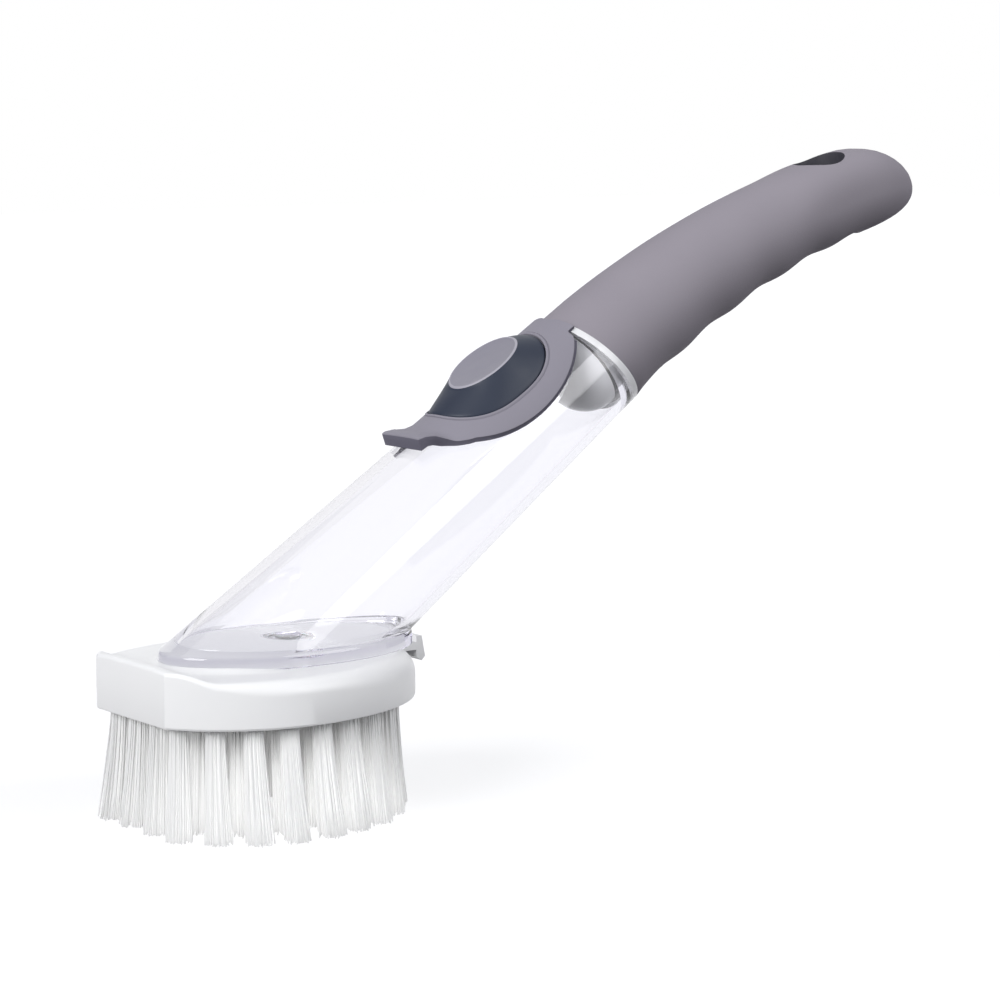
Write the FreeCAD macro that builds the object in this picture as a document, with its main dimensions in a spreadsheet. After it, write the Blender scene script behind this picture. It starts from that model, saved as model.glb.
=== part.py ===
import FreeCAD, Part
import math
import os
import re
from FreeCAD import Placement, Rotation, Vector

# Soap-dispensing dish wand, in millimetres, standing on its bristle tips.
# +Z is up, +X points from the flat nose of the head to the handle, and the origin lies on the floor
# below the middle of the head. Stations are measured along the tube's axis from the middle of its foot.

SIZES = {
    # Bristles
    "bristle_length": 27.0,
    "tuft_radius": 2.2,
    "tuft_tip_radius": 3.1,
    "tuft_depth": 6.5,
    "tuft_gap": 0.05,
    "tuft_margin": 5.0,
    "tuft_rear_margin": 7.0,
    "inner_row_front": 10.5,
    "tuft_splay": 5.0,
    "tuft_sweep": 2.0,
    "outer_tufts": 22,
    "middle_tufts": 15,
    "inner_tufts": 9,
    "staple_width": 3.2,
    "staple_height": 1.2,
    "staple_thickness": 0.4,
    # Head
    "head_rear": 44.0,
    "head_half_width": 32.5,
    "head_height": 11.0,
    "shoulder_radius": 3.5,
    "nose_reach": 31.5,
    "nose_half_width": 15.5,
    "nose_height": 13.5,
    "nose_lip": 2.2,
    "nose_dip": 1.4,
    "nose_ramp": 21.0,
    "keeper_height": 14.2,
    "keeper_wall": 3.0,
    "keeper_length": 20.0,
    # Coupling between head and foot
    "coupling_gap": 0.35,
    "boss_radius": 6.15,
    "boss_length": 7.0,
    "soap_hole_radius": 2.5,
    "socket_wall": 2.8,
    "seal_radius": 0.8,
    "seal_gap": 0.05,
    "seal_drop": 2.3,
    # Latch at the rear of the head
    "latch_width": 10.0,
    "latch_thickness": 1.6,
    "latch_arm": 2.0,
    "latch_top": 12.0,
    "latch_beak": 1.0,
    "latch_thumb": 5.8,
    "latch_inset": 3.4,
    "latch_drop": 2.0,
    "latch_pin_radius": 1.0,
    "latch_pin_reach": 1.8,
    "latch_gap": 0.4,
    "pin_gap": 0.05,
    # Reservoir tube and its foot
    "tube_lean": 34.6,
    "foot_x": 13.7,
    "foot_height": 14.4,
    "foot_radius": 18.9,
    "foot_lip": 0.6,
    "collar_radius": 15.3,
    "tube_length": 112.0,
    "tube_wall": 2.2,
    "outlet_radius": 3.2,
    "valve_radius": 4.6,
    "valve_thickness": 1.4,
    "valve_slit": 0.3,
    "valve_slit_length": 4.4,
    "retainer_length": 1.6,
    "fit_gap": 0.1,
    # Neck between tube and handle
    "collar_setback": 3.0,
    "collar_slant": 11.5,
    "collar_ring_width": 1.8,
    "neck_radius": 12.6,
    "neck_bore": 10.6,
    "neck_inset": 4.0,
    "neck_reach": 13.0,
    "plug_dome": 9.0,
    "plug_rim": 12.0,
    "plug_proud": 2.2,
    "o_ring_inset": 8.0,
    "o_ring_radius": 0.7,
    "spigot_radius": 5.9,
    "spigot_length": 15.0,
    # Handle
    "handle_bend": 280.0,
    "grip_length": 120.5,
    "grip_end_radius": 11.4,
    "grip_round": 22.5,
    "grip_droop": 4.0,
    "wave_start": 14.5,
    "wave_pitch": 20.5,
    "wave_depth": 0.9,
    "core_radius": 8.5,
    "core_end_radius": 7.0,
    "core_length": 55.0,
    "hang_setback": 29.2,
    "hang_radius": 7.0,
    "hang_point_angle": 50.0,
    # Fill lid and pump button
    "lid_setback": 26.0,
    "lid_edge_radius": 37.1,
    "lid_side_height": 7.1,
    "lid_rise": 0.8,
    "lid_gap": 0.3,
    "seat_depth": 0.8,
    "hinge_setback": 4.4,
    "hinge_bead_radius": 0.9,
    "hinge_bead_length": 9.0,
    "tab_half_width": 7.6,
    "tab_reach": 5.2,
    "tab_root": 5.0,
    "tab_thickness": 2.4,
    "tab_entry": 1.4,
    "tab_lift": 0.35,
    "dome_setback": 28.2,
    "dome_half_length": 18.0,
    "dome_half_width": 12.4,
    "dome_rise": 3.7,
    "facet_shift": 1.9,
    "facet_half_length": 10.3,
    "facet_half_width": 8.25,
    "dome_wall": 2.0,
    "pump_travel": 3.0,
}

WORD = re.compile(r"[a-z_]\w*")

doc = FreeCAD.newDocument("dish_wand")
sheet = doc.addObject("Spreadsheet::Sheet", "Sizes")
for row, (alias, number) in enumerate(SIZES.items(), start=1):
    sheet.set(f"A{row}", str(number))
    sheet.setAlias(f"A{row}", alias)
doc.recompute()


def in_sheet(text):
    """The expression with each size's name pointed at its cell."""
    return WORD.sub(lambda word: ("Sizes." if word[0] in SIZES else "") + word[0], str(text))


def value(text):
    return float(sheet.evalExpression(in_sheet(text)))


def bind(thing, **sizes):
    for name, text in sizes.items():
        thing.setExpression(name, in_sheet(text))
    return thing


# Expressions that several pieces share
TAPER = "((foot_radius - collar_radius) / tube_length)"


def tube_radius(station, offset="0"):
    """Outer radius of the tube at a station, as an expression."""
    return f"(foot_radius - ({station}) * {TAPER} + ({offset}))"


COLLAR = "(tube_length - collar_setback)"
NECK_START = f"({COLLAR} - neck_inset)"
NECK_END = f"({COLLAR} + neck_reach)"
PLUG_END = f"({NECK_END} + plug_proud)"
O_RING_STATION = f"({NECK_START} + o_ring_inset)"
HINGE_STATION = f"({COLLAR} - hinge_setback)"
LID_CENTRE = f"({COLLAR} - lid_setback)"
DOME_CENTRE = f"({COLLAR} - dome_setback)"
FACET_CENTRE = f"({DOME_CENTRE} + facet_shift)"
HANG_ARC = "(grip_length - hang_setback)"
FOOT_UP = f"(-foot_radius * cos(tube_lean) / (sin(tube_lean) - {TAPER} * cos(tube_lean)))"
FOOT_DOWN = f"(foot_radius * cos(tube_lean) / (sin(tube_lean) + {TAPER} * cos(tube_lean)))"
FOOT_FRONT = f"(foot_x + {FOOT_UP} * cos(tube_lean) - {tube_radius(FOOT_UP)} * sin(tube_lean))"
FOOT_REAR = f"(foot_x + {FOOT_DOWN} * cos(tube_lean) + {tube_radius(FOOT_DOWN)} * sin(tube_lean))"
FOOT_MIDDLE = f"(({FOOT_FRONT} + {FOOT_REAR}) / 2)"
FOOT_LONG = f"(({FOOT_REAR} - {FOOT_FRONT}) / 2 + foot_lip)"
FOOT_WIDE = f"(sqrt({tube_radius(FOOT_UP)} * {tube_radius(FOOT_DOWN)}) + foot_lip)"
HEAD_FRONT = "(nose_reach / sqrt(1 - (nose_half_width / head_half_width) ^ 2))"
HEAD_TOP = "(bristle_length + head_height)"
FOOT_TOP = "(bristle_length + foot_height)"
BOSS_END = f"({HEAD_TOP} - boss_length)"
SOCKET_FLOOR = f"({BOSS_END} - coupling_gap)"
SOCKET_RADIUS = "(boss_radius + coupling_gap)"
SEAL_RING = f"({SOCKET_RADIUS} - seal_radius - seal_gap)"
SEAL_LEVEL = f"({HEAD_TOP} - seal_drop)"
O_RING = "(neck_bore - o_ring_radius - seal_gap)"
LATCH_X = "(head_rear - latch_inset)"
LATCH_Z = f"({HEAD_TOP} - latch_drop)"
HINGE_HEIGHT = f"({tube_radius(HINGE_STATION, 'lid_rise')} - hinge_bead_radius)"
FACET_HEIGHT = tube_radius(FACET_CENTRE, "dome_rise")
LID_EDGE_HEIGHT = "(lid_side_height + lid_edge_radius)"
LID_CREST_DROP = f"({LID_EDGE_HEIGHT} - {tube_radius(LID_CENTRE, 'lid_rise')})"
LID_TIP = f"({LID_CENTRE} - sqrt(lid_edge_radius ^ 2 - {LID_CREST_DROP} ^ 2))"
BUTTON_INSIDE = tube_radius(f"{DOME_CENTRE} + dome_half_length", "lid_gap - seat_depth")
BUTTON_SIDE = f"sqrt({BUTTON_INSIDE} ^ 2 - dome_half_width ^ 2)"
LEAN = value("tube_lean")
UP = Vector(0, 0, 1)
SIDEWAYS = Rotation(Vector(1, 0, 0), -90)
FAR = "(head_rear + tube_length)"
# How far a cutting shape runs past the face that it opens
PAST = "1"


def point(x="0", y="0", z="0"):
    return Vector(value(x), value(y), value(z))


def at(x="0", y="0", z="0"):
    return Placement(point(x, y, z), Rotation())


def radial(station="0"):
    """Frame at a station with X along the tube's axis and Z out through the lid."""
    foot = Placement(point("foot_x", "0", FOOT_TOP), Rotation(Vector(0, 1, 0), -LEAN))
    return foot.multiply(at(station))


def axial(station="0"):
    """Frame at a station with Z along the tube's axis."""
    return radial(station).multiply(Placement(Vector(), Rotation(Vector(0, 1, 0), 90)))


def on_handle(arc):
    """Frame on the handle's bent centre line: X across, Y up and Z along, arc mm past the collar."""
    bend = value("handle_bend")
    turn = arc / bend
    middle = Vector(bend * math.sin(turn), 0, bend * (math.cos(turn) - 1))
    along = Vector(math.cos(turn), 0, -math.sin(turn))
    upward = Vector(math.sin(turn), 0, math.cos(turn))
    rotation = Rotation(Vector(0, 1, 0), upward, along, "ZXY")
    return radial(COLLAR).multiply(Placement(middle, rotation))


def add(kind, name, placement, **sizes):
    thing = doc.addObject(kind, name)
    thing.Placement = placement
    return bind(thing, **sizes)


def block(name, frame, x, y, z):
    """Box between the low and high expression of each axis."""
    lengths = [f"(({high}) - ({low}))" for low, high in (x, y, z)]
    corner = frame.multiply(at(x[0], y[0], z[0]))
    return add("Part::Box", name, corner, Length=lengths[0], Width=lengths[1], Height=lengths[2])


def rod(name, frame, radius, low, high):
    place = frame.multiply(at(z=low))
    return add("Part::Cylinder", name, place, Radius=radius, Height=f"(({high}) - ({low}))")


def cross_rod(name, centre, radius, length):
    """Cylinder along Y through a point."""
    place = Placement(centre - Vector(0, value(length) / 2, 0), SIDEWAYS)
    return add("Part::Cylinder", name, place, Radius=radius, Height=length)


def tube_cone(name, low, high, offset):
    """Solid cone in line with the tube, its surface offset from the tube's outside."""
    radii = [tube_radius(end, offset) for end in (low, high)]
    height = f"(({high}) - ({low}))"
    return add("Part::Cone", name, axial(low), Radius1=radii[0], Radius2=radii[1], Height=height)


def ring(name, frame, radius, section):
    return add("Part::Torus", name, frame, Radius1=radius, Radius2=section)


def oval(name, frame, long, wide):
    """Ellipse with one half axis along the frame's X and the other along its Y."""
    major, minor, turn = (long, wide, 0)
    if value(wide) > value(long):
        major, minor, turn = (wide, long, 90)
    place = frame.multiply(Placement(Vector(), Rotation(UP, turn)))
    return add("Part::Ellipse", name, place, MajorRadius=major, MinorRadius=minor)


def extruded(name, base, length, both_ways=False):
    thing = doc.addObject("Part::Extrusion", name)
    thing.Base = base
    thing.DirMode = "Normal"
    thing.Solid = True
    thing.Symmetric = both_ways
    return bind(thing, LengthFwd=length)


def oval_prism(name, frame, long, wide, low, high):
    base = oval(name + "_oval", frame.multiply(at(z=low)), long, wide)
    return extruded(name, base, f"(({high}) - ({low}))")


def profile_prism(name, frame, corners, width):
    """Prism of a profile in the frame's X and Z, centred on its Y."""
    base = doc.addObject("Part::Polygon", name + "_profile")
    base.Nodes = [frame.multVec(point(x, "0", z)) for x, z in corners]
    base.Close = True
    return extruded(name, base, width, both_ways=True)


def joined(name, things):
    thing = doc.addObject("Part::MultiFuse", name)
    thing.Shapes = things
    return thing


def shared(name, things):
    thing = doc.addObject("Part::MultiCommon", name)
    thing.Shapes = things
    return thing


def grouped(name, things):
    thing = doc.addObject("Part::Compound", name)
    thing.Links = things
    return thing


def less(name, base, tools):
    """The base with every tool cut out of it, one after another."""
    for number, tool in enumerate(tools, start=1):
        last = number == len(tools)
        cut = doc.addObject("Part::Cut", name if last else f"{name}_cut_{number}")
        cut.Base = base
        cut.Tool = tool
        base = cut
    return base


def lofted(name, sections, ruled=False):
    thing = doc.addObject("Part::Loft", name)
    thing.Sections = sections
    thing.Solid = True
    thing.Ruled = ruled
    return thing


# Bristles and head


def between(outer, inner, share):
    return value(f"({outer}) * {1 - share} + ({inner}) * {share}")


def row_points(share, count):
    """Places spread evenly round a ring: by the head's edge at share 0, by its socket at share 1."""
    beside_socket = f"({SOCKET_RADIUS} + socket_wall + tuft_radius)"
    wide = between("head_half_width - tuft_margin", beside_socket, share)
    rear = between("head_rear - tuft_rear_margin", f"{FOOT_MIDDLE} + {beside_socket}", share)
    nose = between("nose_reach - tuft_margin", "inner_row_front", share)
    front = nose * value(f"{HEAD_FRONT} / nose_reach")
    steps = 720
    outline = []
    for step in range(steps + 1):
        angle = 2 * math.pi * (step + 0.5) / steps
        reach = rear if math.cos(angle) > 0 else front
        outline.append(Vector(max(reach * math.cos(angle), -nose), wide * math.sin(angle), 0))
    lengths = [0.0]
    for first, second in zip(outline, outline[1:]):
        lengths.append(lengths[-1] + (second - first).Length)
    pitch = lengths[-1] / count
    places = []
    for number in range(count):
        goal = pitch * (number + 0.5)
        places.append(next(spot for spot, run in zip(outline, lengths) if run >= goal))
    return places


def tuft_rows():
    return {
        "outer": row_points(0, int(value("outer_tufts"))),
        "middle": row_points(0.5, int(value("middle_tufts"))),
        "inner": row_points(1, int(value("inner_tufts"))) + [Vector()],
    }


def tuft(name, place):
    """Round bundle, straight in its hole and leaning out to a wider, flat tip on the floor."""
    splay = place.y * value("tuft_splay / head_half_width")
    sweep = min(place.x, 0) * value("tuft_sweep / head_half_width")
    lean = Vector(sweep, splay, 0)
    top = "(bristle_length + tuft_depth - staple_height - 2 * tuft_gap)"
    levels = [
        (place + UP * value(top), "tuft_radius"),
        (place + UP * value("bristle_length"), "tuft_radius"),
        (place + lean, "tuft_tip_radius"),
    ]
    circles = []
    for number, (centre, radius) in enumerate(levels):
        spot = Placement(centre, Rotation())
        circles.append(add("Part::Circle", f"{name}_circle_{number}", spot, Radius=radius))
    return lofted(name, circles, ruled=True)


def tuft_row(name, places):
    return grouped(name, [tuft(f"{name}_{number}", place) for number, place in enumerate(places)])


def staple_row(name, places):
    """Flat anchors, one across the top of each tuft's hole."""
    half_width = "staple_width / 2"
    half_thick = "staple_thickness / 2"
    top = "bristle_length + tuft_depth - tuft_gap"
    staples = []
    for number, place in enumerate(places):
        frame = Placement(place, Rotation(UP, math.degrees(math.atan2(place.y, place.x))))
        spans = ((f"-{half_thick}", half_thick), (f"-{half_width}", half_width))
        staples.append(block(f"{name}_{number}", frame, *spans, (f"{top} - staple_height", top)))
    return grouped(name, staples)


def head_prism(name, height):
    """The head's outline, raised: an oval with its front cut off flat."""
    low = "bristle_length"
    high = f"bristle_length + {height}"
    side = (f"-head_half_width - {PAST}", f"head_half_width + {PAST}")
    halves = []
    for half, reach, span in (
        ("rear", "head_rear", ("0", f"head_rear + {PAST}")),
        ("front", HEAD_FRONT, ("-nose_reach", "0")),
    ):
        whole = oval_prism(f"{name}_{half}_oval", at(), reach, "head_half_width", low, high)
        window = block(f"{name}_{half}_window", at(), span, side, (low, high))
        halves.append(shared(f"{name}_{half}", [whole, window]))
    return joined(name, halves)


def rounded_block():
    """The head's block with its curved top edges rounded."""
    prism = head_prism("head_block", "head_height")
    doc.recompute()
    top = value(HEAD_TOP)
    edges = []
    for number, edge in enumerate(prism.Shape.Edges, start=1):
        level = all(abs(vertex.Z - top) < 1e-6 for vertex in edge.Vertexes)
        if level and not isinstance(edge.Curve, (Part.Line, Part.LineSegment)):
            edges.append((number, value("shoulder_radius"), value("shoulder_radius")))
    rounded = doc.addObject("Part::Fillet", "head_rounded_block")
    rounded.Base = prism
    rounded.Edges = edges
    return rounded


def nose_rise():
    """The higher nose, dipping behind its lip and running down into the shoulders."""
    low = "bristle_length"
    top = "bristle_length + nose_height"
    corners = [
        ("-nose_reach", low),
        ("-nose_reach", top),
        ("-nose_reach + nose_lip", top),
        ("-nose_reach + 2 * nose_lip", f"{top} - nose_dip"),
        ("-nose_reach + nose_ramp / 2", HEAD_TOP),
        ("-nose_reach + nose_ramp", f"{HEAD_TOP} - shoulder_radius"),
        ("-nose_reach + nose_ramp", low),
    ]
    ramp = profile_prism("nose_ramp", at(), corners, "2 * head_half_width")
    return shared("nose_rise", [ramp, head_prism("nose_outline", "nose_height")])


def foot_keeper():
    """The raised crescent that the front of the foot stands in."""
    front = f"({FOOT_MIDDLE} - {FOOT_LONG} - keeper_wall)"
    top = "bristle_length + keeper_height"
    corners = [
        (front, "bristle_length"),
        (front, top),
        (f"{front} + keeper_length / 2", top),
        (f"{front} + keeper_length", HEAD_TOP),
        (f"{front} + keeper_length", "bristle_length"),
    ]
    ramp = profile_prism("keeper_ramp", at(), corners, "2 * head_half_width")
    sizes = [f"{side} + coupling_gap + keeper_wall" for side in (FOOT_LONG, FOOT_WIDE)]
    crescent = oval_prism("keeper_oval", at(FOOT_MIDDLE), *sizes, "bristle_length", top)
    return shared("foot_keeper", [ramp, crescent])


def head_base(places):
    whole = joined("head_whole", [rounded_block(), nose_rise(), foot_keeper()])
    above = f"{HEAD_TOP} + keeper_height"
    below = f"bristle_length - {PAST}"
    room = [f"{side} + coupling_gap" for side in (FOOT_LONG, FOOT_WIDE)]
    foot_room = oval_prism("foot_room", at(FOOT_MIDDLE), *room, HEAD_TOP, above)
    socket = rod("head_socket", at(FOOT_MIDDLE), SOCKET_RADIUS, SOCKET_FLOOR, above)
    soap_hole = rod("soap_hole", at(FOOT_MIDDLE), "soap_hole_radius", below, above)
    half_slot = "(latch_width / 2 + latch_gap)"
    slot_floor = f"{HEAD_TOP} - latch_arm - 2 * latch_gap - latch_pin_radius"
    slot_front = f"{LATCH_X} - latch_arm"
    slot = block(
        "latch_slot",
        at(),
        (slot_front, "head_rear + latch_top"),
        (f"-{half_slot}", half_slot),
        (slot_floor, above),
    )
    pivot = point(LATCH_X, "0", LATCH_Z)
    pin_length = "latch_width + 2 * latch_pin_reach + 2 * latch_gap"
    pin_hole = cross_rod("pin_hole", pivot, "latch_pin_radius + pin_gap", pin_length)
    holes = []
    for number, place in enumerate(places):
        frame = Placement(place, Rotation())
        ends = (below, "bristle_length + tuft_depth")
        holes.append(rod(f"tuft_hole_{number}", frame, "tuft_radius + tuft_gap", *ends))
    cuts = [foot_room, socket, soap_hole, slot, pin_hole, grouped("tuft_holes", holes)]
    return less("head_base", whole, cuts)


def head_latch():
    """Tongue in the head's slot, with an upright behind the foot and a thumb piece hanging below."""
    inner = f"({FOOT_MIDDLE} + {FOOT_LONG} + latch_gap)"
    outer = f"({inner} + latch_thickness)"
    beak = f"({outer} + latch_beak)"
    arm_top = f"({HEAD_TOP} - latch_gap)"
    top = "(bristle_length + latch_top)"
    low = "(bristle_length + latch_thumb)"
    corners = [
        (LATCH_X, arm_top),
        (inner, arm_top),
        (inner, top),
        (outer, top),
        (beak, f"{low} + latch_beak"),
        (outer, low),
        (inner, f"{low} + latch_beak"),
        (inner, f"{arm_top} - latch_arm"),
        (LATCH_X, f"{arm_top} - latch_arm"),
    ]
    tongue = profile_prism("latch_tongue", at(), corners, "latch_width")
    pivot = point(LATCH_X, "0", LATCH_Z)
    pins = cross_rod("latch_pins", pivot, "latch_pin_radius", "latch_width + 2 * latch_pin_reach")
    hub = cross_rod("latch_hub", pivot, "latch_pin_radius + latch_gap", "latch_width")
    return joined("head_latch", [tongue, hub, pins])


# Reservoir


def below_foot(name):
    half = "2 * foot_radius"
    return block(name, at(), (f"-{FAR}", FAR), (f"-{half}", half), (f"-{FAR}", FOOT_TOP))


def collar_plane(name, shift, side):
    """Half space on one side of the collar's slanted edge: side 1 is the handle's."""
    tilt = Placement(Vector(), Rotation(Vector(0, 1, 0), -value("collar_slant")))
    frame = radial(f"{COLLAR} + ({shift})").multiply(tilt)
    along = ("0", FAR) if side > 0 else (f"-{FAR}", "0")
    across = (f"-{FAR}", FAR)
    return block(name, frame, along, across, across)


def lid_edge(name, margin):
    """Drum across the tube, whose round outline the lid's edge follows."""
    centre = radial(LID_CENTRE).multVec(point(z=LID_EDGE_HEIGHT))
    return cross_rod(name, centre, f"lid_edge_radius + ({margin})", "4 * foot_radius")


def lid_seat(name):
    """The shallow recess for the lid, with the groove for its hinge bead."""
    outside = tube_cone(name + "_outside", "0", COLLAR, "foot_radius")
    floor = tube_cone(name + "_floor", f"-{PAST}", f"{COLLAR} + {PAST}", "-seat_depth")
    shell = less(name + "_shell", outside, [floor])
    recess = shared(name + "_recess", [shell, lid_edge(name + "_edge", "coupling_gap")])
    length = "hinge_bead_length + 2 * lid_gap"
    bead = hinge_rod(name + "_groove", "hinge_bead_radius + lid_gap", length)
    return joined(name, [recess, bead])


def hinge_rod(name, radius, length):
    centre = radial(HINGE_STATION).multVec(point(z=HINGE_HEIGHT))
    return cross_rod(name, centre, radius, length)


def dome_prism(name, margin, low):
    sizes = [f"dome_half_{side} + ({margin})" for side in ("length", "width")]
    return oval_prism(name, radial(DOME_CENTRE), *sizes, low, "2 * foot_radius")


def reservoir_tube():
    start = f"({FOOT_UP} - foot_radius)"
    cone = tube_cone("tube_cone", start, "tube_length", "0")
    body = less("tube_body", cone, [collar_plane("tube_end", "-collar_ring_width", 1)])
    neck = rod("tube_neck", axial(), "neck_radius", f"{NECK_START} - tube_wall", NECK_END)
    whole = joined("tube_whole", [body, neck])
    inside = tube_cone("tube_inside", f"{start} - {PAST}", NECK_START, "-tube_wall")
    bore_ends = (f"{NECK_START} - {PAST}", f"{NECK_END} + {PAST}")
    bore = rod("neck_bore_hole", axial(), "neck_bore", *bore_ends)
    port = dome_prism("fill_port", "2 * lid_gap", f"{BUTTON_SIDE} - pump_travel - lid_gap")
    cuts = [inside, bore, lid_seat("tube_seat"), port, below_foot("tube_foot_cut")]
    return less("reservoir_tube", whole, cuts)


def collar_ring():
    """Clear ring between the tube's slanted end and the handle."""
    cone = tube_cone("collar_cone", f"{NECK_START} - neck_radius", "tube_length + collar_radius", "0")
    hole = rod("collar_hole", axial(), "neck_radius + fit_gap", "0", "2 * tube_length")
    before = collar_plane("collar_before", "-collar_ring_width", -1)
    after = collar_plane("collar_after", "0", 1)
    return less("collar_ring", cone, [hole, before, after, lid_seat("collar_seat")])


def reservoir_foot():
    """Oval floor of the tube, with a boss that plugs into the head."""
    middle = at(FOOT_MIDDLE)
    plate = oval_prism("foot_plate", middle, FOOT_LONG, FOOT_WIDE, HEAD_TOP, FOOT_TOP)
    boss = rod("foot_boss", middle, "boss_radius", BOSS_END, FOOT_TOP)
    whole = joined("foot_whole", [plate, boss])
    below = f"{BOSS_END} - {PAST}"
    outlet = rod("foot_outlet", middle, "outlet_radius", below, f"{FOOT_TOP} + {PAST}")
    seat_top = f"{BOSS_END} + retainer_length + valve_thickness + fit_gap"
    seat = rod("valve_seat", middle, "valve_radius + fit_gap", below, seat_top)
    level = at(FOOT_MIDDLE, "0", SEAL_LEVEL)
    groove = ring("seal_groove", level, SEAL_RING, "seal_radius + seal_gap / 2")
    return less("reservoir_foot", whole, [outlet, seat, groove])


def outlet_seal():
    return ring("outlet_seal", at(FOOT_MIDDLE, "0", SEAL_LEVEL), SEAL_RING, "seal_radius")


def outlet_valve():
    """Silicone disc with a cross slit."""
    low = f"{BOSS_END} + retainer_length"
    high = f"{low} + valve_thickness"
    disc = rod("valve_disc", at(FOOT_MIDDLE), "valve_radius", low, high)
    length = "(valve_slit_length / 2)"
    half = "(valve_slit / 2)"
    spans = [(f"-{length}", length), (f"-{half}", half)]
    height = (f"{low} - {PAST}", f"{high} + {PAST}")
    first = block("valve_slit_long", at(FOOT_MIDDLE), spans[0], spans[1], height)
    second = block("valve_slit_cross", at(FOOT_MIDDLE), spans[1], spans[0], height)
    return less("outlet_valve", disc, [first, second])


def valve_retainer():
    middle = at(FOOT_MIDDLE)
    top = f"{BOSS_END} + retainer_length"
    outside = rod("retainer_disc", middle, "valve_radius", BOSS_END, top)
    hole = rod("retainer_hole", middle, "soap_hole_radius", f"{BOSS_END} - {PAST}", HEAD_TOP)
    return less("valve_retainer", outside, [hole])


# Neck and handle


def neck_plug():
    """Domed plug that closes the tube's upper end and holds the handle's core."""
    ball = add(
        "Part::Ellipsoid",
        "plug_ball",
        axial(NECK_START),
        Radius1="plug_dome",
        Radius2="plug_rim",
        Radius3="plug_rim",
    )
    ball.Angle1 = -90
    ball.Angle2 = 0
    stem = rod("plug_stem", axial(), "neck_bore - fit_gap", NECK_START, PLUG_END)
    whole = joined("plug_whole", [ball, stem])
    ends = (f"{PLUG_END} - spigot_length", f"{PLUG_END} + {PAST}")
    socket = rod("plug_socket", axial(), "spigot_radius + fit_gap", *ends)
    groove = ring("o_ring_groove", axial(O_RING_STATION), O_RING, "o_ring_radius + seal_gap / 2")
    return less("neck_plug", whole, [socket, groove])


def neck_o_ring():
    return ring("neck_o_ring", axial(O_RING_STATION), O_RING, "o_ring_radius")


def core_loft(name, margin):
    """Tapered bar along the handle's bend, from the neck plug's end."""
    start = value(f"{PLUG_END} + fit_gap - {COLLAR}")
    length = value("core_length")
    steps = 4
    circles = []
    for step in range(steps + 1):
        share = step / steps
        radius = f"core_radius + (core_end_radius - core_radius) * {share} + ({margin})"
        spot = on_handle(start + length * share)
        if step == 0:
            spot = axial(f"{PLUG_END} + fit_gap")
        circles.append(add("Part::Circle", f"{name}_circle_{step}", spot, Radius=radius))
    return lofted(name, circles)


def handle_core():
    bar = core_loft("core_bar", "0")
    ends = (f"{PLUG_END} + fit_gap - spigot_length", f"{PLUG_END} + core_radius")
    spigot = rod("core_spigot", axial(), "spigot_radius", *ends)
    return joined("handle_core", [bar, spigot])


def grip_radius(arc):
    share = f"({arc} / (grip_length - grip_round))"
    return f"(collar_radius + (grip_end_radius - collar_radius) * {share})"


def grip_loft():
    """Handle's outside, dipping between the fingers along its underside."""
    straight = value("grip_length - grip_round")
    start = value("wave_start")
    quarter = value("wave_pitch") / 4
    last_crest = int((straight - start) / quarter - 3) // 4 * 4 + 2
    dips = [(-value("neck_radius"), 0), (0, 0), (start / 2, 0.5)]
    for number in range(last_crest + 1):
        dips.append((start + number * quarter, (1, 0.5, 0, 0.5)[number % 4]))
    dips.append(((dips[-1][0] + straight) / 2, 0))
    dips.append((straight, 0))
    sections = []
    for number, (arc, share) in enumerate(dips):
        dip = f"wave_depth / 2 * {share}"
        spot = on_handle(arc).multiply(at("0", dip))
        radius = grip_radius(arc)
        sections.append(oval(f"grip_section_{number}", spot, radius, f"{radius} - {dip}"))
    return lofted("grip_loft", sections)


def grip_end():
    """Rounded end, drooping towards its tip."""
    frame = on_handle(value("grip_length - grip_round"))
    sections = []
    for number, angle in enumerate((0, 15, 30, 45, 60, 72, 82)):
        spot = frame.multiply(at("0", f"-grip_droop * sin({angle}) ^ 2", f"grip_round * sin({angle})"))
        radius = f"grip_end_radius * cos({angle})"
        sections.append(add("Part::Circle", f"grip_end_circle_{number}", spot, Radius=radius))
    return lofted("grip_end", sections)


def hang_hole():
    """Teardrop through the handle, pointed towards the head."""
    upright = Placement(Vector(), Rotation(Vector(1, 0, 0), -90))
    frame = on_handle(value(HANG_ARC)).multiply(upright)
    depth = "2 * collar_radius"
    round_end = rod("hang_round", frame, "hang_radius", f"-{depth}", depth)
    tip = "(hang_radius / sin(hang_point_angle))"
    flank = "(hang_radius * cos(hang_point_angle))"
    set_back = "(hang_radius * sin(hang_point_angle))"
    corners = [("0", tip), (flank, set_back), ("0", "0"), (f"-{flank}", set_back)]
    wedge = doc.addObject("Part::Polygon", "hang_point_outline")
    wedge.Nodes = [frame.multVec(point(x, y, f"-{depth}")) for x, y in corners]
    wedge.Close = True
    point_end = extruded("hang_point", wedge, f"2 * {depth}")
    return joined("hang_hole", [round_end, point_end])


def handle_grip():
    whole = joined("grip_whole", [grip_loft(), grip_end()])
    socket = rod("grip_socket", axial(), "neck_radius + fit_gap", "0", f"{NECK_END} + fit_gap")
    stem_room = rod("grip_stem_room", axial(), "neck_bore", "0", f"{PLUG_END} + fit_gap")
    core_room = core_loft("grip_core_room", "fit_gap")
    before = collar_plane("grip_before", "0", -1)
    return less("handle_grip", whole, [socket, stem_room, core_room, before, hang_hole()])


# Lid and pump


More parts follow.
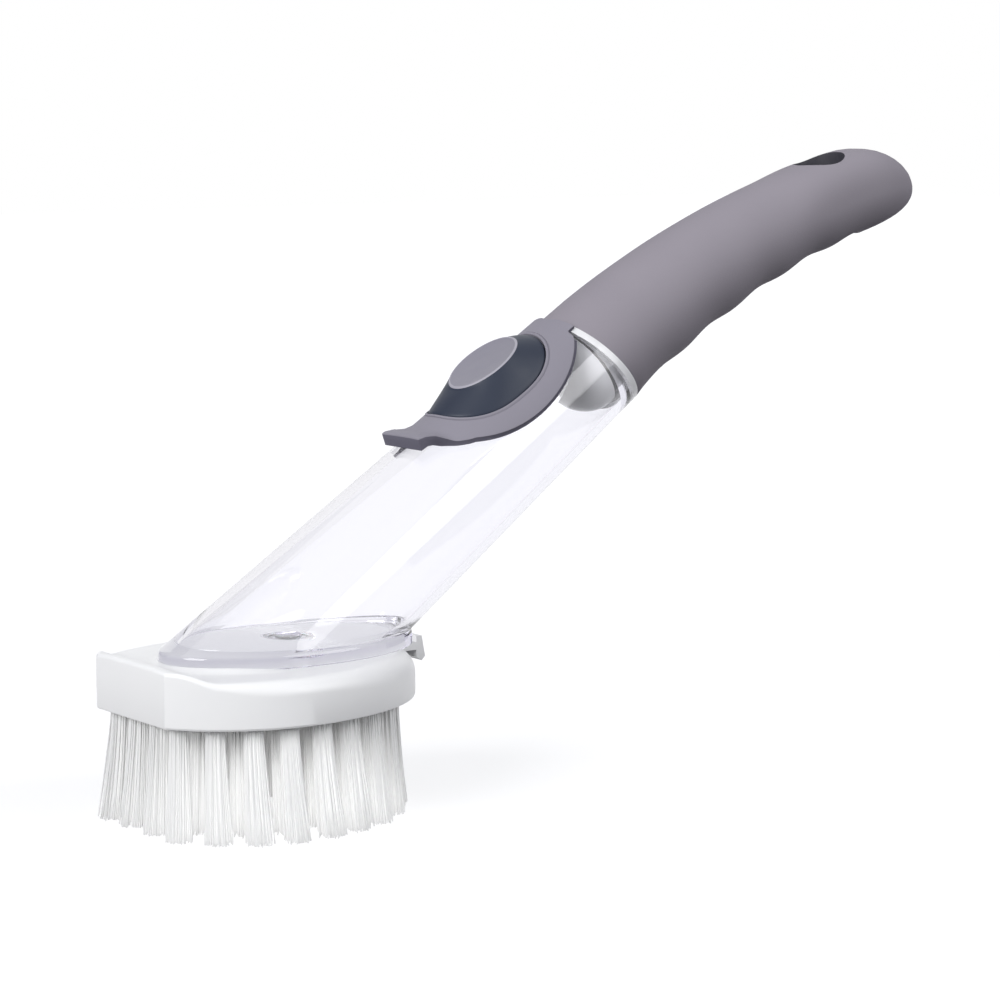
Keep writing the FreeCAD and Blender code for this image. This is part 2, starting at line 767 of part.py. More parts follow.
def fill_lid():
    """Saddle-shaped lid with a hinge bead at the collar and a lifted pull tab."""
    outside = tube_cone("lid_outside", "0", HINGE_STATION, "lid_rise")
    inside = tube_cone("lid_inside", f"-{PAST}", f"{HINGE_STATION} + {PAST}", "lid_gap - seat_depth")
    shell = less("lid_shell", outside, [inside])
    saddle = shared("lid_saddle", [shell, lid_edge("lid_edge", "0")])
    bead = hinge_rod("lid_bead", "hinge_bead_radius", "hinge_bead_length")
    whole = joined("lid_whole", [saddle, bead, pull_tab()])
    return less("fill_lid", whole, [dome_prism("dome_hole", "lid_gap", "0")])


def pull_tab():
    """Flat tab over the tube's crest, its lip turned up."""
    front = f"({LID_TIP} - tab_reach)"
    entry = f"({LID_TIP} + tab_entry)"
    back = f"({LID_TIP} + tab_root)"
    over = tube_radius(LID_TIP, "lid_gap + coupling_gap")
    lip = tube_radius(front, "tab_lift")
    deep = f"({tube_radius(back, '-seat_depth')} - tab_thickness)"
    corners = [
        (front, lip),
        (f"{front} + tab_thickness / 2", f"{lip} + tab_thickness"),
        (f"{front} + tab_thickness", f"{lip} + tab_thickness"),
        (LID_TIP, f"{over} + tab_thickness / 2"),
        (back, tube_radius(back, "lid_rise")),
        (back, deep),
        (entry, tube_radius(entry, "lid_gap - seat_depth")),
        (LID_TIP, over),
    ]
    tab = profile_prism("tab_plate", radial(), corners, "2 * tab_half_width")
    room = tube_cone("tab_room", "0", HINGE_STATION, "lid_gap - seat_depth")
    return less("pull_tab", tab, [room])


def pump_button():
    """Low dome with a flat oval top, hollow below, that fills the lid's hole."""
    low = tube_radius(DOME_CENTRE, "lid_rise")
    side_drop = f"sqrt({low} ^ 2 - dome_half_width ^ 2)"
    end_drop = f"({FACET_HEIGHT} - {low})"
    spread = f"(({FACET_HEIGHT} - {side_drop}) / {end_drop})"
    skirt_long = f"(facet_half_length + (dome_half_length - facet_half_length) * {spread})"
    skirt_frame = radial(DOME_CENTRE).multiply(at(z=side_drop))
    skirt = oval("dome_skirt", skirt_frame, skirt_long, "dome_half_width")
    top_frame = radial(FACET_CENTRE).multiply(at(z=FACET_HEIGHT))
    facet = oval("dome_facet", top_frame, "facet_half_length", "facet_half_width")
    flank = lofted("dome_flank", [skirt, facet], ruled=True)
    dome = shared("dome_solid", [flank, dome_prism("dome_outline", "0", "0")])
    inside = tube_cone("dome_inside", "0", "tube_length", "lid_gap - seat_depth")
    hollow_sizes = [f"facet_half_{side} - dome_wall" for side in ("length", "width")]
    hollow = oval_prism(
        "dome_hollow",
        radial(FACET_CENTRE),
        *hollow_sizes,
        "0",
        f"{FACET_HEIGHT} - dome_wall",
    )
    return less("pump_button", dome, [inside, hollow])


rows = tuft_rows()
all_places = [place for places in rows.values() for place in places]
NODES = [tuft_row(f"tufts_{row}", places) for row, places in rows.items()]
NODES += [staple_row(f"staples_{row}", places) for row, places in rows.items()]
NODES += [
    head_base(all_places),
    head_latch(),
    reservoir_tube(),
    collar_ring(),
    reservoir_foot(),
    outlet_seal(),
    outlet_valve(),
    valve_retainer(),
    neck_plug(),
    neck_o_ring(),
    handle_core(),
    handle_grip(),
    fill_lid(),
    pump_button(),
]
doc.recompute()

for thing in doc.Objects:
    if {"Invalid", "Error"} & set(thing.State):
        raise RuntimeError(f"{thing.Label} did not build: {thing.State}")
for node in NODES:
    if node.Shape.isNull() or not node.Shape.isValid():
        raise RuntimeError(f"{node.Label} has no valid shape")

os.makedirs("parts", exist_ok=True)
for node in NODES:
    node.Shape.exportStep(f"parts/{node.Label}.step")
    box = node.Shape.BoundBox
    print(
        f"{node.Label}: {len(node.Shape.Solids)} solids, {node.Shape.Volume:.0f} mm3,"
        f" x {box.XMin:.1f} to {box.XMax:.1f}, y {box.YMin:.1f} to {box.YMax:.1f},"
        f" z {box.ZMin:.1f} to {box.ZMax:.1f}"
    )
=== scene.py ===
import math
import random

import bmesh
import bpy
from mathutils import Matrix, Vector


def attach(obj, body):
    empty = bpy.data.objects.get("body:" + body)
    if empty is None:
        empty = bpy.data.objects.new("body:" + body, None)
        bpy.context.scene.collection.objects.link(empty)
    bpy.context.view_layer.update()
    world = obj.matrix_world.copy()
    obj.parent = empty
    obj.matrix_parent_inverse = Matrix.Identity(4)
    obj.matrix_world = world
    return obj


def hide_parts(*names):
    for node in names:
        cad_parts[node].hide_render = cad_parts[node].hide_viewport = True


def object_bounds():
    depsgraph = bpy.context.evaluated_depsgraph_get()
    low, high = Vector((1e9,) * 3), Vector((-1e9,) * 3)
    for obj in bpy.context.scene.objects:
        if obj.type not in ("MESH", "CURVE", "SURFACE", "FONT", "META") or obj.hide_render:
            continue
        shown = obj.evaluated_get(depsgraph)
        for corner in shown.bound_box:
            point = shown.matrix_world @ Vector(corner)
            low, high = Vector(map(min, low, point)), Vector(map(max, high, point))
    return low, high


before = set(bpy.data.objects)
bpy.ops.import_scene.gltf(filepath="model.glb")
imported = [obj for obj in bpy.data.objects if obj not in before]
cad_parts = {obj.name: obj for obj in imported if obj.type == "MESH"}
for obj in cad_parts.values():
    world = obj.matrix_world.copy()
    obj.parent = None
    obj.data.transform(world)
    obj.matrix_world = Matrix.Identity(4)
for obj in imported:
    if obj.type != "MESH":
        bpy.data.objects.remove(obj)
cad_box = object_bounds()

# Sizes are in millimetres and repeat those of the solids. MM brings a finished mesh to metres.
MM = 0.001
FULL_TURN = 2 * math.pi

# Tube, foot and neck
FOOT_X = 13.7
FOOT_TOP = 41.4
FOOT_RADIUS = 18.9
FOOT_MIDDLE = 12.15
FOOT_LONG = 33.96
FOOT_WIDE = 19.52
FOOT_SINK = 0.05
COLLAR_RADIUS = 15.3
TUBE_LENGTH = 112.0
TUBE_TAPER = (FOOT_RADIUS - COLLAR_RADIUS) / TUBE_LENGTH
TUBE_WALL = 2.2
LEAN = math.radians(34.6)
COLLAR = 109.0
COLLAR_RING = 1.8
COLLAR_SLANT = math.tan(math.radians(11.5))
NECK_START = 105.0
NECK_END = 122.0
NECK_RADIUS = 12.6
NECK_BORE = 10.6
BOSS_RADIUS = 6.15
BOSS_END = 31.0
BOSS_EDGE = 0.3
VALVE_SEAT = 4.7
VALVE_SEAT_TOP = 34.1
OUTLET = 3.2
PORT_CENTRE = 80.8
PORT_LENGTH = 18.6
PORT_WIDTH = 13.0
PORT_CUT = (8.0, 40.0)
PORT_SIDES = 96
SEAT_DEPTH = 0.8
SEAT_GAP = 0.35
SEAT_CUT = 4.0
SEAT_MIDDLE_CUT = 12.0
SEAT_SIDES = 120
SEAT_SHARES = (0.25, 0.5, 0.75, 0.9, 1.0)
SEAT_LIMIT = 40.0
BODY_SIDES = 540
INNER_STEPS = 12
OUTER_STEPS = 13
INNER_WALL_LIFT = 0.5
OUTER_WALL_LIFT = 0.25

# Round at the inner foot of the tube's wall: inset from the wall and lift over the foot
INNER_ROUND = ((0.15, 0.12), (0.5, 0.0), (0.8, 0.0))

# Edge of the foot's plate: margin past its oval and level over the head's top
PLATE_EDGE = (
    (-1.0, -FOOT_SINK),
    (-0.4, -FOOT_SINK),
    (0.0, 0.3),
    (0.0, 2.6),
    (-0.15, 3.15),
    (-0.4, 3.4),
)

# Handle
HANDLE_BEND = 280.0
NECK_ROOM = 12.7
NECK_ROOM_END = 13.1
GRIP_STRAIGHT = 98.0
GRIP_ROUND = 22.5
GRIP_DROOP = 4.0
GRIP_END_RADIUS = 11.4
GRIP_SIDES = 72
GRIP_FIRST = 6.0
GRIP_STEP = 2.0
GRIP_CAP_STEPS = 12
CIRCLE = 2.0
FLAT_TOP = 0.7
FLAT_START = 70.0
FLAT_RUN = 16.0
WAVE_START = 14.5
WAVE_PITCH = 20.5
WAVE_DEPTH = 0.9
WAVES = 3.5
HANG_ARC = 91.3
HANG_RADIUS = 7.0
HANG_POINT = math.radians(24)
HANG_BLUNT = 0.2
HANG_CUT = 2 * COLLAR_RADIUS
HANG_REACH = 1.4 * HANG_RADIUS
HANG_WALL_TILT = 0.15
HANG_RIM = 0.7
HANG_LOWER_RIM = 0.45
HANG_RIM_STEPS = 3
SHARP = math.radians(40)

# Lower edge of the grip: arc and inset
GRIP_EDGE = ((0, COLLAR_RADIUS - NECK_ROOM), (0, 0.5), (0.12, 0.12), (0.5, 0.0))

# Lid
LID_CENTRE = 83.0
LID_EDGE_RADIUS = 37.1
LID_EDGE_HEIGHT = 44.2
LID_RISE = 1.0
LID_SINK = 0.5
LID_FLARE = 0.8
LID_SIDE_LIFT = 0.06
LID_PLUG_GAP = 0.6
LID_LIMIT = 45.0
LID_END_STEPS = 22
LID_SIDE_STEPS = 90
STRAP_START = 103.3
STRAP_BLEND = 0.5
STRAP_HALF_WIDTH = 8.35
STRAP_GAP = 0.3
STRAP_CURVE = 0.05
HINGE_STATION = 104.6
TAB_FRONT = 52.4
TAB_ROOT = 60.0
TAB_RUN = 4.5
TAB_HALF_WIDTH = 7.7
TAB_SPREAD = 5.2
TAB_SPREAD_END = 65.0
TAB_CROWN = 0.2
TAB_SIDE_END = 57.5
TAB_SIDE_RUN = 3.5
TAB_FOOT_LIFT = 0.1

# Height of the pull tab's upper side over the tube's crest at stations along it
TAB_TOP = (
    (TAB_FRONT, 3.25),
    (52.9, 3.4),
    (53.6, 3.25),
    (54.6, 2.6),
    (56.0, 1.9),
    (58.0, 1.4),
    (TAB_ROOT, 1.1),
)

# Relief across the lid from the dome's hole outwards: distance and lift
LID_BEAD = (
    (0.0, -0.25),
    (0.08, 0.1),
    (0.25, 0.22),
    (0.55, 0.22),
    (0.72, 0.1),
    (0.82, -0.22),
    (0.98, -0.22),
    (1.1, 0.0),
)
LID_FLANGE = (0.15, 0.35, 0.55, 0.75, 0.9)
LID_UPPER_EDGE = ((0.25, 0.0), (0.08, -0.03))
LID_RIM = (0.06, 0.5, 1.0)
LID_RIM_LIFT = 0.05
LID_UNDER_INSET = 1.2

# Button
DOME_CENTRE = 81.1
DOME_LENGTH = 16.7
DOME_WIDTH = 11.9
DOME_SQUARENESS = 2.57
DOME_GAP = 0.3
DOME_SIDES = 96
DOME_SKIRT = (-1.3, -0.15)
FLANK_SHARES = (0.05, 0.12, 0.22, 0.35, 0.5, 0.65, 0.8, 0.91)
FLANK_BULGE = 0.35
# Limits of the button's painted shade on its flank and painted highlight on the rim of its top
SHADED_FLANK_FROM = 1.03
SHADED_FLANK_DROP = 1.2
HIGHLIGHT_RIM_FROM = 0.965
FACET_CENTRE = 82.7
FACET_LENGTH = 10.3
FACET_WIDTH = 8.25
FACET_HEIGHT = 19.94
FACET_HOLLOW = 0.6

# Button's hollowed top from its rim inwards: share of its oval and lift
FACET_PROFILE = (
    (1.02, -0.3),
    (1.005, -0.1),
    (0.985, 0.0),
    (0.96, -0.02),
    (0.93, -0.1),
    (0.8, -0.28),
    (0.6, -0.45),
    (0.35, -0.56),
)

# Head
BRISTLE = 27.0
HEAD_REAR = 44.0
HEAD_FRONT = 35.84
HEAD_WIDTH = 32.5
HEAD_TOP = 38.0
HEAD_BLEND = 0.35
HEAD_INSET = 6.0
NOSE = 31.5
NOSE_STEPS = 24
ROUND_STEPS = 110
FOOT_ROOM = 0.35
RECESS_EDGE = 0.6
RECESS_STEPS = 10
KEEPER_RISE = 1.0
KEEPER_START = 4.0
KEEPER_RUN = 18.0
KEEPER_WIDTH = 1.9
LIP_RISE = 2.5
LIP_START = 22.0
LIP_RUN = 7.5
LIP_FALL = 0.12
LIP_SIDE = 8.0
SHOULDER = 3.5
SHOULDER_STEPS = 8
NOSE_TIGHTER = 2.6
NOSE_SHOULDER = 10.0
NOSE_SHOULDER_RUN = 20.0
REAR_SOFTER = 2.0
REAR_SHOULDER_RUN = 35.0
SOCKET_RADIUS = 6.5
SOCKET_FLOOR = 30.65
SOCKET_EDGE = 0.3
SOAP_HOLE = 2.5
LATCH_SLOT = (20, 10.8, 8)
LATCH_SLOT_PLACE = (48.6, 0, 38.2)

# Lower edge of the head: inset and height over the bristles
HEAD_LOWER_EDGE = ((0.6, 0.0), (0.2, 0.15), (0.0, 0.6))

# Bristles
TUFT_MARGIN = 5.0
TUFT_REAR_MARGIN = 7.0
TUFT_RADIUS = 2.4
TUFT_TIP = 3.8
TUFT_SPLAY = 5.0
TUFT_SWEEP = 2.0
TUFT_SOCKET_WALL = 2.8
INNER_NOSE = 10.5
ROW_STEPS = 720
FILAMENT_STEPS = 4
FILAMENT_SIDES = 5
FILAMENT_RADIUS = 0.2
FILAMENT_TAPER_START = 0.75
FILAMENT_ROOT = 2.0
ROOT_INSET = 0.25
TIP_INSET = 0.22
TIP_LIFT = 0.05
TIP_STRAY = 0.18
TIP_UNEVEN = 0.5
TIP_ROUND = 0.5
BOX_MARGIN = 0.25
SPIRAL_TURN = 2.39996
SPIRAL_STRAY = 0.2
FRAY = (0.82, 1.0)
BEND = (1.15, 1.7)
DICE_SEED = 11

# Rows of tufts: name, share of the way in to the socket, tufts, and filaments in each tuft
TUFT_ROWS = (("outer", 0, 22, 96), ("middle", 0.5, 15, 80), ("inner", 1, 9, 70))

# Search for an edge by halving
SEARCH_START = 5.0
SEARCH_STEPS = 40
MERGE_DISTANCE = 1e-4
TINY = 1e-6


def ease(share):
    """Smooth step from 0 to 1."""
    share = min(max(share, 0.0), 1.0)
    return share * share * (3 - 2 * share)


def turns_round(sides):
    """Angles spread evenly over a full turn."""
    return [FULL_TURN * step / sides for step in range(sides)]


def furthest(inside, limit):
    """Longest reach, short of a limit, that is still inside."""
    low = SEARCH_START
    high = limit
    for _ in range(SEARCH_STEPS):
        reach = (low + high) / 2
        low, high = (reach, high) if inside(reach) else (low, reach)
    return low


def out_from(middle, reach, turn):
    """Places along and across at a reach from a middle."""
    return middle + reach * math.cos(turn), reach * math.sin(turn)


def oval_reach(turn, length, width, squareness=CIRCLE):
    """Distance from an oval's middle to its edge."""
    along = abs(math.cos(turn) / length) ** squareness
    across = abs(math.sin(turn) / width) ** squareness
    return (along + across) ** (-1 / squareness)


def tube_radius(station):
    return FOOT_RADIUS - station * TUBE_TAPER


def saddle_height(station, across, lift):
    """Height of a surface wrapped round the tube, lift mm outside it."""
    return math.sqrt(max((tube_radius(station) + lift) ** 2 - across**2, 0.0))


def on_tube(station, across, height):
    """Spot at a station along the tube's axis, across it and out from it through the lid."""
    x = FOOT_X + station * math.cos(LEAN) - height * math.sin(LEAN)
    z = FOOT_TOP + station * math.sin(LEAN) + height * math.cos(LEAN)
    return Vector((x, across, z))


def on_handle(arc, across, height):
    """Spot in a cross-section of the bent handle, arc mm past the collar."""
    turn = arc / HANDLE_BEND
    along = (HANDLE_BEND + height) * math.sin(turn)
    rise = (HANDLE_BEND + height) * math.cos(turn) - HANDLE_BEND
    return on_tube(COLLAR + along, across, rise)


TUBE_ALONG = on_tube(1, 0, 0) - on_tube(0, 0, 0)
TUBE_OUT = on_tube(0, 0, 1) - on_tube(0, 0, 0)


# Mesh making


def ring_edges(bm, ring):
    return [bm.edges.get(pair) for pair in zip(ring, ring[1:] + ring[:1])]


def raise_ring(bm, ring, spots):
    """Extrudes a closed ring of corners and moves the new ring to its spots."""
    made = bmesh.ops.extrude_edge_only(bm, edges=ring_edges(bm, ring))["geom"]
    fresh = {item for item in made if isinstance(item, bmesh.types.BMVert)}
    raised = []
    for corner, spot in zip(ring, spots):
        twin = next(e.other_vert(corner) for e in corner.link_edges if e.other_vert(corner) in fresh)
        twin.co = spot
        raised.append(twin)
    return raised


def lofted(rings, start=None, end=None, loop=False):
    """Skin through rings of spots, closed by a point at either end or back to its first ring."""
    bm = bmesh.new()
    ring = bmesh.ops.create_circle(bm, segments=len(rings[0]), radius=1)["verts"]
    for corner, spot in zip(ring, rings[0]):
        corner.co = spot
    first = ring
    for spots in rings[1:] + ([rings[0]] if loop else []):
        ring = raise_ring(bm, ring, spots)
    for rim, tip in ((first, start), (ring, end)):
        if tip is not None:
            cap = raise_ring(bm, rim, [tip] * len(rim))
            bmesh.ops.pointmerge(bm, verts=cap, merge_co=tip)
    if loop:
        bmesh.ops.remove_doubles(bm, verts=bm.verts, dist=MERGE_DISTANCE)
    bmesh.ops.recalc_face_normals(bm, faces=bm.faces)
    return bm


def cut_out(bm, cutter):
    """The shape with a cutter taken out of it."""
    things = []
    for label, shape in (("blank", bm), ("cutter", cutter)):
        mesh = bpy.data.meshes.new(label)
        shape.to_mesh(mesh)
        shape.free()
        thing = bpy.data.objects.new(label, mesh)
        bpy.context.scene.collection.objects.link(thing)
        things.append(thing)
    difference = things[0].modifiers.new("difference", "BOOLEAN")
    difference.operation = "DIFFERENCE"
    difference.solver = "EXACT"
    difference.object = things[1]
    graph = bpy.context.evaluated_depsgraph_get()
    done = bpy.data.meshes.new_from_object(things[0].evaluated_get(graph))
    result = bmesh.new()
    result.from_mesh(done)
    for mesh in [thing.data for thing in things] + [done]:
        bpy.data.meshes.remove(mesh)
    return result


def thing_of(name, bm, finish):
    """Object of a finished mesh."""
    mesh = bpy.data.meshes.new(name)
    bm.to_mesh(mesh)
    bm.free()
    mesh.materials.append(finish)
    thing = bpy.data.objects.new(name, mesh)
    bpy.context.scene.collection.objects.link(thing)
    return thing


def piece(name, bm, body, finish, crease):
    """Finished piece on its body, smooth except where faces meet at more than the crease."""
    bmesh.ops.scale(bm, vec=(MM, MM, MM), verts=bm.verts)
    thing = thing_of(name, bm, finish)
    thing.data.shade_smooth()
    thing.data.set_sharp_from_angle(angle=math.radians(crease))
    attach(thing, body)
    return thing


# Finishes

# Grain of a finish: repeats per metre and how much fine detail
CLOUD = (60, 4)
SHEEN = (240, 3)
SMEAR = (90, 1)
PORE_DETAIL = 2

# Range that the grain's values mostly fill
GRAIN_LOW = 0.3
GRAIN_HIGH = 0.7


def linear(red, green, blue):
    """A colour as the eye names it, 0 to 255, in the shader's own scale."""
    return tuple((part / 255) ** 2.2 for part in (red, green, blue)) + (1.0,)


def set_sockets(node, sockets):
    for socket, setting in sockets.items():
        node.inputs[socket.replace("_", " ")].default_value = setting


def add_node(tree, kind, **sockets):
    """New node with constant values on its sockets."""
    node = tree.nodes.new("ShaderNode" + kind)
    set_sockets(node, sockets)
    return node


def shader_of(name, **sockets):
    finish = bpy.data.materials.new(name)
    finish.use_nodes = True
    shader = finish.node_tree.nodes["Principled BSDF"]
    set_sockets(shader, sockets)
    return finish, finish.node_tree, shader


def grain(tree, scale, detail):
    """Fine irregular pattern fixed to the piece."""
    place = add_node(tree, "TexCoord")
    noise = add_node(tree, "TexNoise", Scale=scale, Detail=detail)
    tree.links.new(place.outputs["Object"], noise.inputs["Vector"])
    return noise.outputs[0]


def tint(tree, shader, pattern, low, high):
    """Colour that wanders between two tones."""
    mix = add_node(tree, "Mix")
    mix.data_type = "RGBA"
    mix.inputs[6].default_value = low
    mix.inputs[7].default_value = high
    tree.links.new(pattern, mix.inputs[0])
    tree.links.new(mix.outputs[2], shader.inputs["Base Color"])


def spread(tree, shader, pattern, low, high):
    """Gloss that wanders between two values of roughness."""
    scale = add_node(tree, "MapRange", From_Min=GRAIN_LOW, From_Max=GRAIN_HIGH, To_Min=low, To_Max=high)
    tree.links.new(pattern, scale.inputs["Value"])
    tree.links.new(scale.outputs["Result"], shader.inputs["Roughness"])


def bumps(tree, shader, pattern, depth):
    """Relief of that depth in millimetres."""
    bump = add_node(tree, "Bump", Distance=depth * MM)
    tree.links.new(pattern, bump.inputs["Height"])
    tree.links.new(bump.outputs["Normal"], shader.inputs["Normal"])


def moulded(name, low, high, gloss, relief=0.01, pore=1800, **sockets):
    """Moulded plastic or rubber: cloudy colour, uneven gloss and a fine surface."""
    finish, tree, shader = shader_of(name, **sockets)
    tint(tree, shader, grain(tree, *CLOUD), low, high)
    spread(tree, shader, grain(tree, *SHEEN), *gloss)
    bumps(tree, shader, grain(tree, pore, PORE_DETAIL), relief)
    return finish


def clear_finish(name, tone, density, gloss):
    """Clear plastic that greys where the eye looks along its wall."""
    finish, tree, shader = shader_of(
        name,
        Base_Color=(0.99, 0.99, 1.0, 1.0),
        IOR=1.49,
        Transmission_Weight=1.0,
    )
    spread(tree, shader, grain(tree, *SMEAR), *gloss)
    depth = add_node(tree, "VolumeAbsorption", Color=tone, Density=density)
    tree.links.new(depth.outputs["Volume"], tree.nodes["Material Output"].inputs["Volume"])
    return finish


def lid_rubber(name, low, high, shine):
    """Dull silicone of the lid."""
    return moulded(name, low, high, (0.55, 0.68), relief=0.015, pore=2600, Specular_IOR_Level=shine)


def button_rubber(name, low, high, shine):
    """Silicone of the button, smoother than the lid's."""
    return moulded(name, low, high, (0.4, 0.5), relief=0.012, pore=2600, Specular_IOR_Level=shine)


white_plastic = moulded(
    "white_plastic",
    (0.86, 0.86, 0.87, 1),
    (0.90, 0.90, 0.90, 1),
    (0.32, 0.45),
    relief=0.004,
)
# The latch is white plastic made grey: painted shade on a white part.
latch_plastic = moulded(
    "latch_plastic",
    (0.66, 0.66, 0.67, 1),
    (0.72, 0.72, 0.73, 1),
    (0.3, 0.42),
    relief=0.004,
)
nylon = moulded(
    "nylon_filament",
    (0.83, 0.83, 0.83, 1),
    (0.87, 0.87, 0.865, 1),
    (0.3, 0.45),
    relief=0.002,
)
grip_rubber = moulded(
    "grip_rubber",
    linear(141, 136, 144),
    linear(147, 142, 150),
    (0.68, 0.8),
    relief=0.03,
    pore=3200,
    Specular_IOR_Level=0.12,
)
lid_silicone = lid_rubber("lid_silicone", linear(135, 132, 142), linear(141, 138, 148), 0.15)
# Darker copy of the lid's silicone: painted shade on the lid's outer edge.
lid_edge = lid_rubber("lid_edge", linear(98, 96, 108), linear(104, 102, 114), 0.12)
button_silicone = button_rubber("button_silicone", linear(128, 126, 137), linear(134, 132, 143), 0.35)
# Dark copy of the button's silicone for its flank: painted shade on the flank.
button_flank_painted_shade = button_rubber("button_flank_painted_shade", linear(44, 50, 64), linear(50, 56, 70), 0.3)
# Light copy of the button's silicone for the rim of its top: painted highlight along the rim.
button_rim_painted_highlight = button_rubber("button_rim_painted_highlight", linear(160, 158, 168), linear(168, 166, 176), 0.3)
seal_silicone = moulded(
    "seal_silicone",
    (0.6, 0.6, 0.61, 1),
    (0.68, 0.68, 0.68, 1),
    (0.35, 0.5),
    Subsurface_Weight=0.2,
    Subsurface_Scale=0.001,
)
core_plastic = moulded("core_plastic", linear(58, 57, 64), linear(64, 63, 70), (0.4, 0.55))
staple_brass = moulded(
    "staple_brass",
    linear(196, 172, 112),
    linear(214, 190, 128),
    (0.25, 0.4),
    relief=0.01,
    pore=900,
    Metallic=1.0,
)
clear_plastic = clear_finish(
    "clear_plastic",
    tone=(0.52, 0.49, 0.66, 1),
    density=32,
    gloss=(0.0, 0.003),
)
milky_plastic = moulded(
    "milky_plastic",
    (0.93, 0.93, 0.95, 1),
    (0.96, 0.96, 0.98, 1),
    (0.06, 0.16),
    relief=0.004,
    Transmission_Weight=0.25,
    IOR=1.45,
)


# Handle


def handle_along(arc):
    """Direction along the handle at an arc."""
    step = 0.5
    return (on_handle(arc + step, 0, 0) - on_handle(arc - step, 0, 0)).normalized()


def handle_up(arc):
    """Direction out through the handle's upper side at an arc."""
    return (on_handle(arc, 0, 1) - on_handle(arc, 0, 0)).normalized()


def wave(arc):
    """Share of the finger dips' depth at an arc, on the handle's underside."""
    if arc < WAVE_START:
        return ease(arc / WAVE_START)
    if arc > WAVE_START + WAVES * WAVE_PITCH:
        return 0.0
    return (1 + math.cos(FULL_TURN * (arc - WAVE_START) / WAVE_PITCH)) / 2


def rounded(angle, squareness):
    """Spot on a unit circle whose upper half is made flatter on top."""
    across = math.cos(angle)
    height = math.sin(angle)
    if height <= 0:
        return across, height
    power = 2 / squareness
    return math.copysign(abs(across) ** power, across), height**power


def grip_section(arc, inset=0.0, slanted=False):
    """Cross-section of the handle; the first ones lie in the collar's slanted plane."""
    radius = COLLAR_RADIUS + (GRIP_END_RADIUS - COLLAR_RADIUS) * arc / GRIP_STRAIGHT - inset
    dip = 0.0 if slanted else WAVE_DEPTH * wave(arc)
    squareness = CIRCLE + FLAT_TOP * ease((arc - FLAT_START) / FLAT_RUN)
    spots = []
    for angle in turns_round(GRIP_SIDES):
        across, height = rounded(angle, squareness)
        height = (radius - dip / 2) * height + dip / 2
        along = arc - height * COLLAR_SLANT if slanted else arc
        spots.append(on_handle(along, radius * across, height))
    return spots


def grip_cap(share):
    """Ring of the rounded end, from 0 at its start to 1 at its tip."""
    lift = math.sin(share * math.pi / 2) * GRIP_ROUND
    radius = math.cos(share * math.pi / 2) * GRIP_END_RADIUS
    spots = []
    for angle in turns_round(GRIP_SIDES):
        across, height = rounded(angle, CIRCLE + FLAT_TOP * (1 - share))
        height = radius * height - GRIP_DROOP * (lift / GRIP_ROUND) ** 2
        foot = on_handle(GRIP_STRAIGHT, radius * across, height)
        spots.append(foot + handle_along(GRIP_STRAIGHT) * lift)
    return spots


def teardrop():
    """Cutter for the hang hole, pointed towards the head."""
    middle = on_handle(HANG_ARC, 0, 0)
    forward = handle_along(HANG_ARC)
    up = handle_up(HANG_ARC) * HANG_CUT
    low = []
    high = []
    for angle in turns_round(GRIP_SIDES):
        off_point = math.hypot(math.remainder(angle - math.pi, FULL_TURN), HANG_BLUNT)
        radius = HANG_RADIUS / math.cos(max(0.0, HANG_POINT - off_point))
        spot = on_handle(HANG_ARC, radius * math.sin(angle), 0) + forward * radius * math.cos(angle)
        low.append(spot - up)
        high.append(spot + up)
    return lofted([low, high], start=middle - up, end=middle + up)


def round_rim(bm, side, width):
    """Softens the sharp edge round the hang hole on the handle's upper (1) or lower (-1) side."""
    middle = on_handle(HANG_ARC, 0, 0)
    up = handle_up(HANG_ARC) * side
    rim = []
    for edge in bm.edges:
        away = edge.verts[0].co - middle
        close = away.length < HANG_CUT and away.dot(up) > 0
        if close and len(edge.link_faces) == 2 and edge.calc_face_angle() > SHARP:
            rim.append(edge)
    bmesh.ops.bevel(
        bm,
        geom=rim,
        offset=width,
        offset_type="OFFSET",
        segments=HANG_RIM_STEPS,
        profile=0.5,
        affect="EDGES",
        material=-1,
        clamp_overlap=True,
    )


def in_hang_hole(face):
    """Whether a face is part of the hang hole's wall, which takes the dark core finish as painted shade.
    """
    forward = handle_along(HANG_ARC)
    spots = [corner.co - on_handle(HANG_ARC, 0, 0) for corner in face.verts]
    close = all(math.hypot(spot.y, spot.dot(forward)) < HANG_REACH for spot in spots)
    return close and abs(face.normal.dot(handle_up(HANG_ARC))) < HANG_WALL_TILT


def make_grip():
    """Soft handle with room for the neck, finger waves and the hang hole."""
    turns = turns_round(GRIP_SIDES)
    room = [(NECK_ROOM * math.cos(turn), NECK_ROOM * math.sin(turn)) for turn in turns]
    rings = [[on_handle(NECK_ROOM_END, *spot) for spot in room]]
    rings += [grip_section(arc, inset, slanted=True) for arc, inset in GRIP_EDGE]
    arc = GRIP_FIRST
    while arc < GRIP_STRAIGHT:
        rings.append(grip_section(arc))
        arc += GRIP_STEP
    rings += [grip_cap(step / GRIP_CAP_STEPS) for step in range(GRIP_CAP_STEPS)]
    tip = on_handle(GRIP_STRAIGHT, 0, -GRIP_DROOP) + handle_along(GRIP_STRAIGHT) * GRIP_ROUND
    bm = lofted(rings, start=on_handle(NECK_ROOM_END, 0, 0), end=tip)
    bm = cut_out(bm, teardrop())
    round_rim(bm, 1, HANG_RIM)
    round_rim(bm, -1, HANG_LOWER_RIM)
    for face in bm.faces:
        face.normal_update()
        # Faces of the hang hole's wall take the dark finish of the handle's core: painted shade inside
        # the hole.
        face.material_index = 1 if in_hang_hole(face) else 0
    grip = piece("grip_skin", bm, "wand", grip_rubber, crease=35)
    grip.data.materials.append(core_plastic)
    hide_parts("handle_grip")


# Clear body of tube and foot


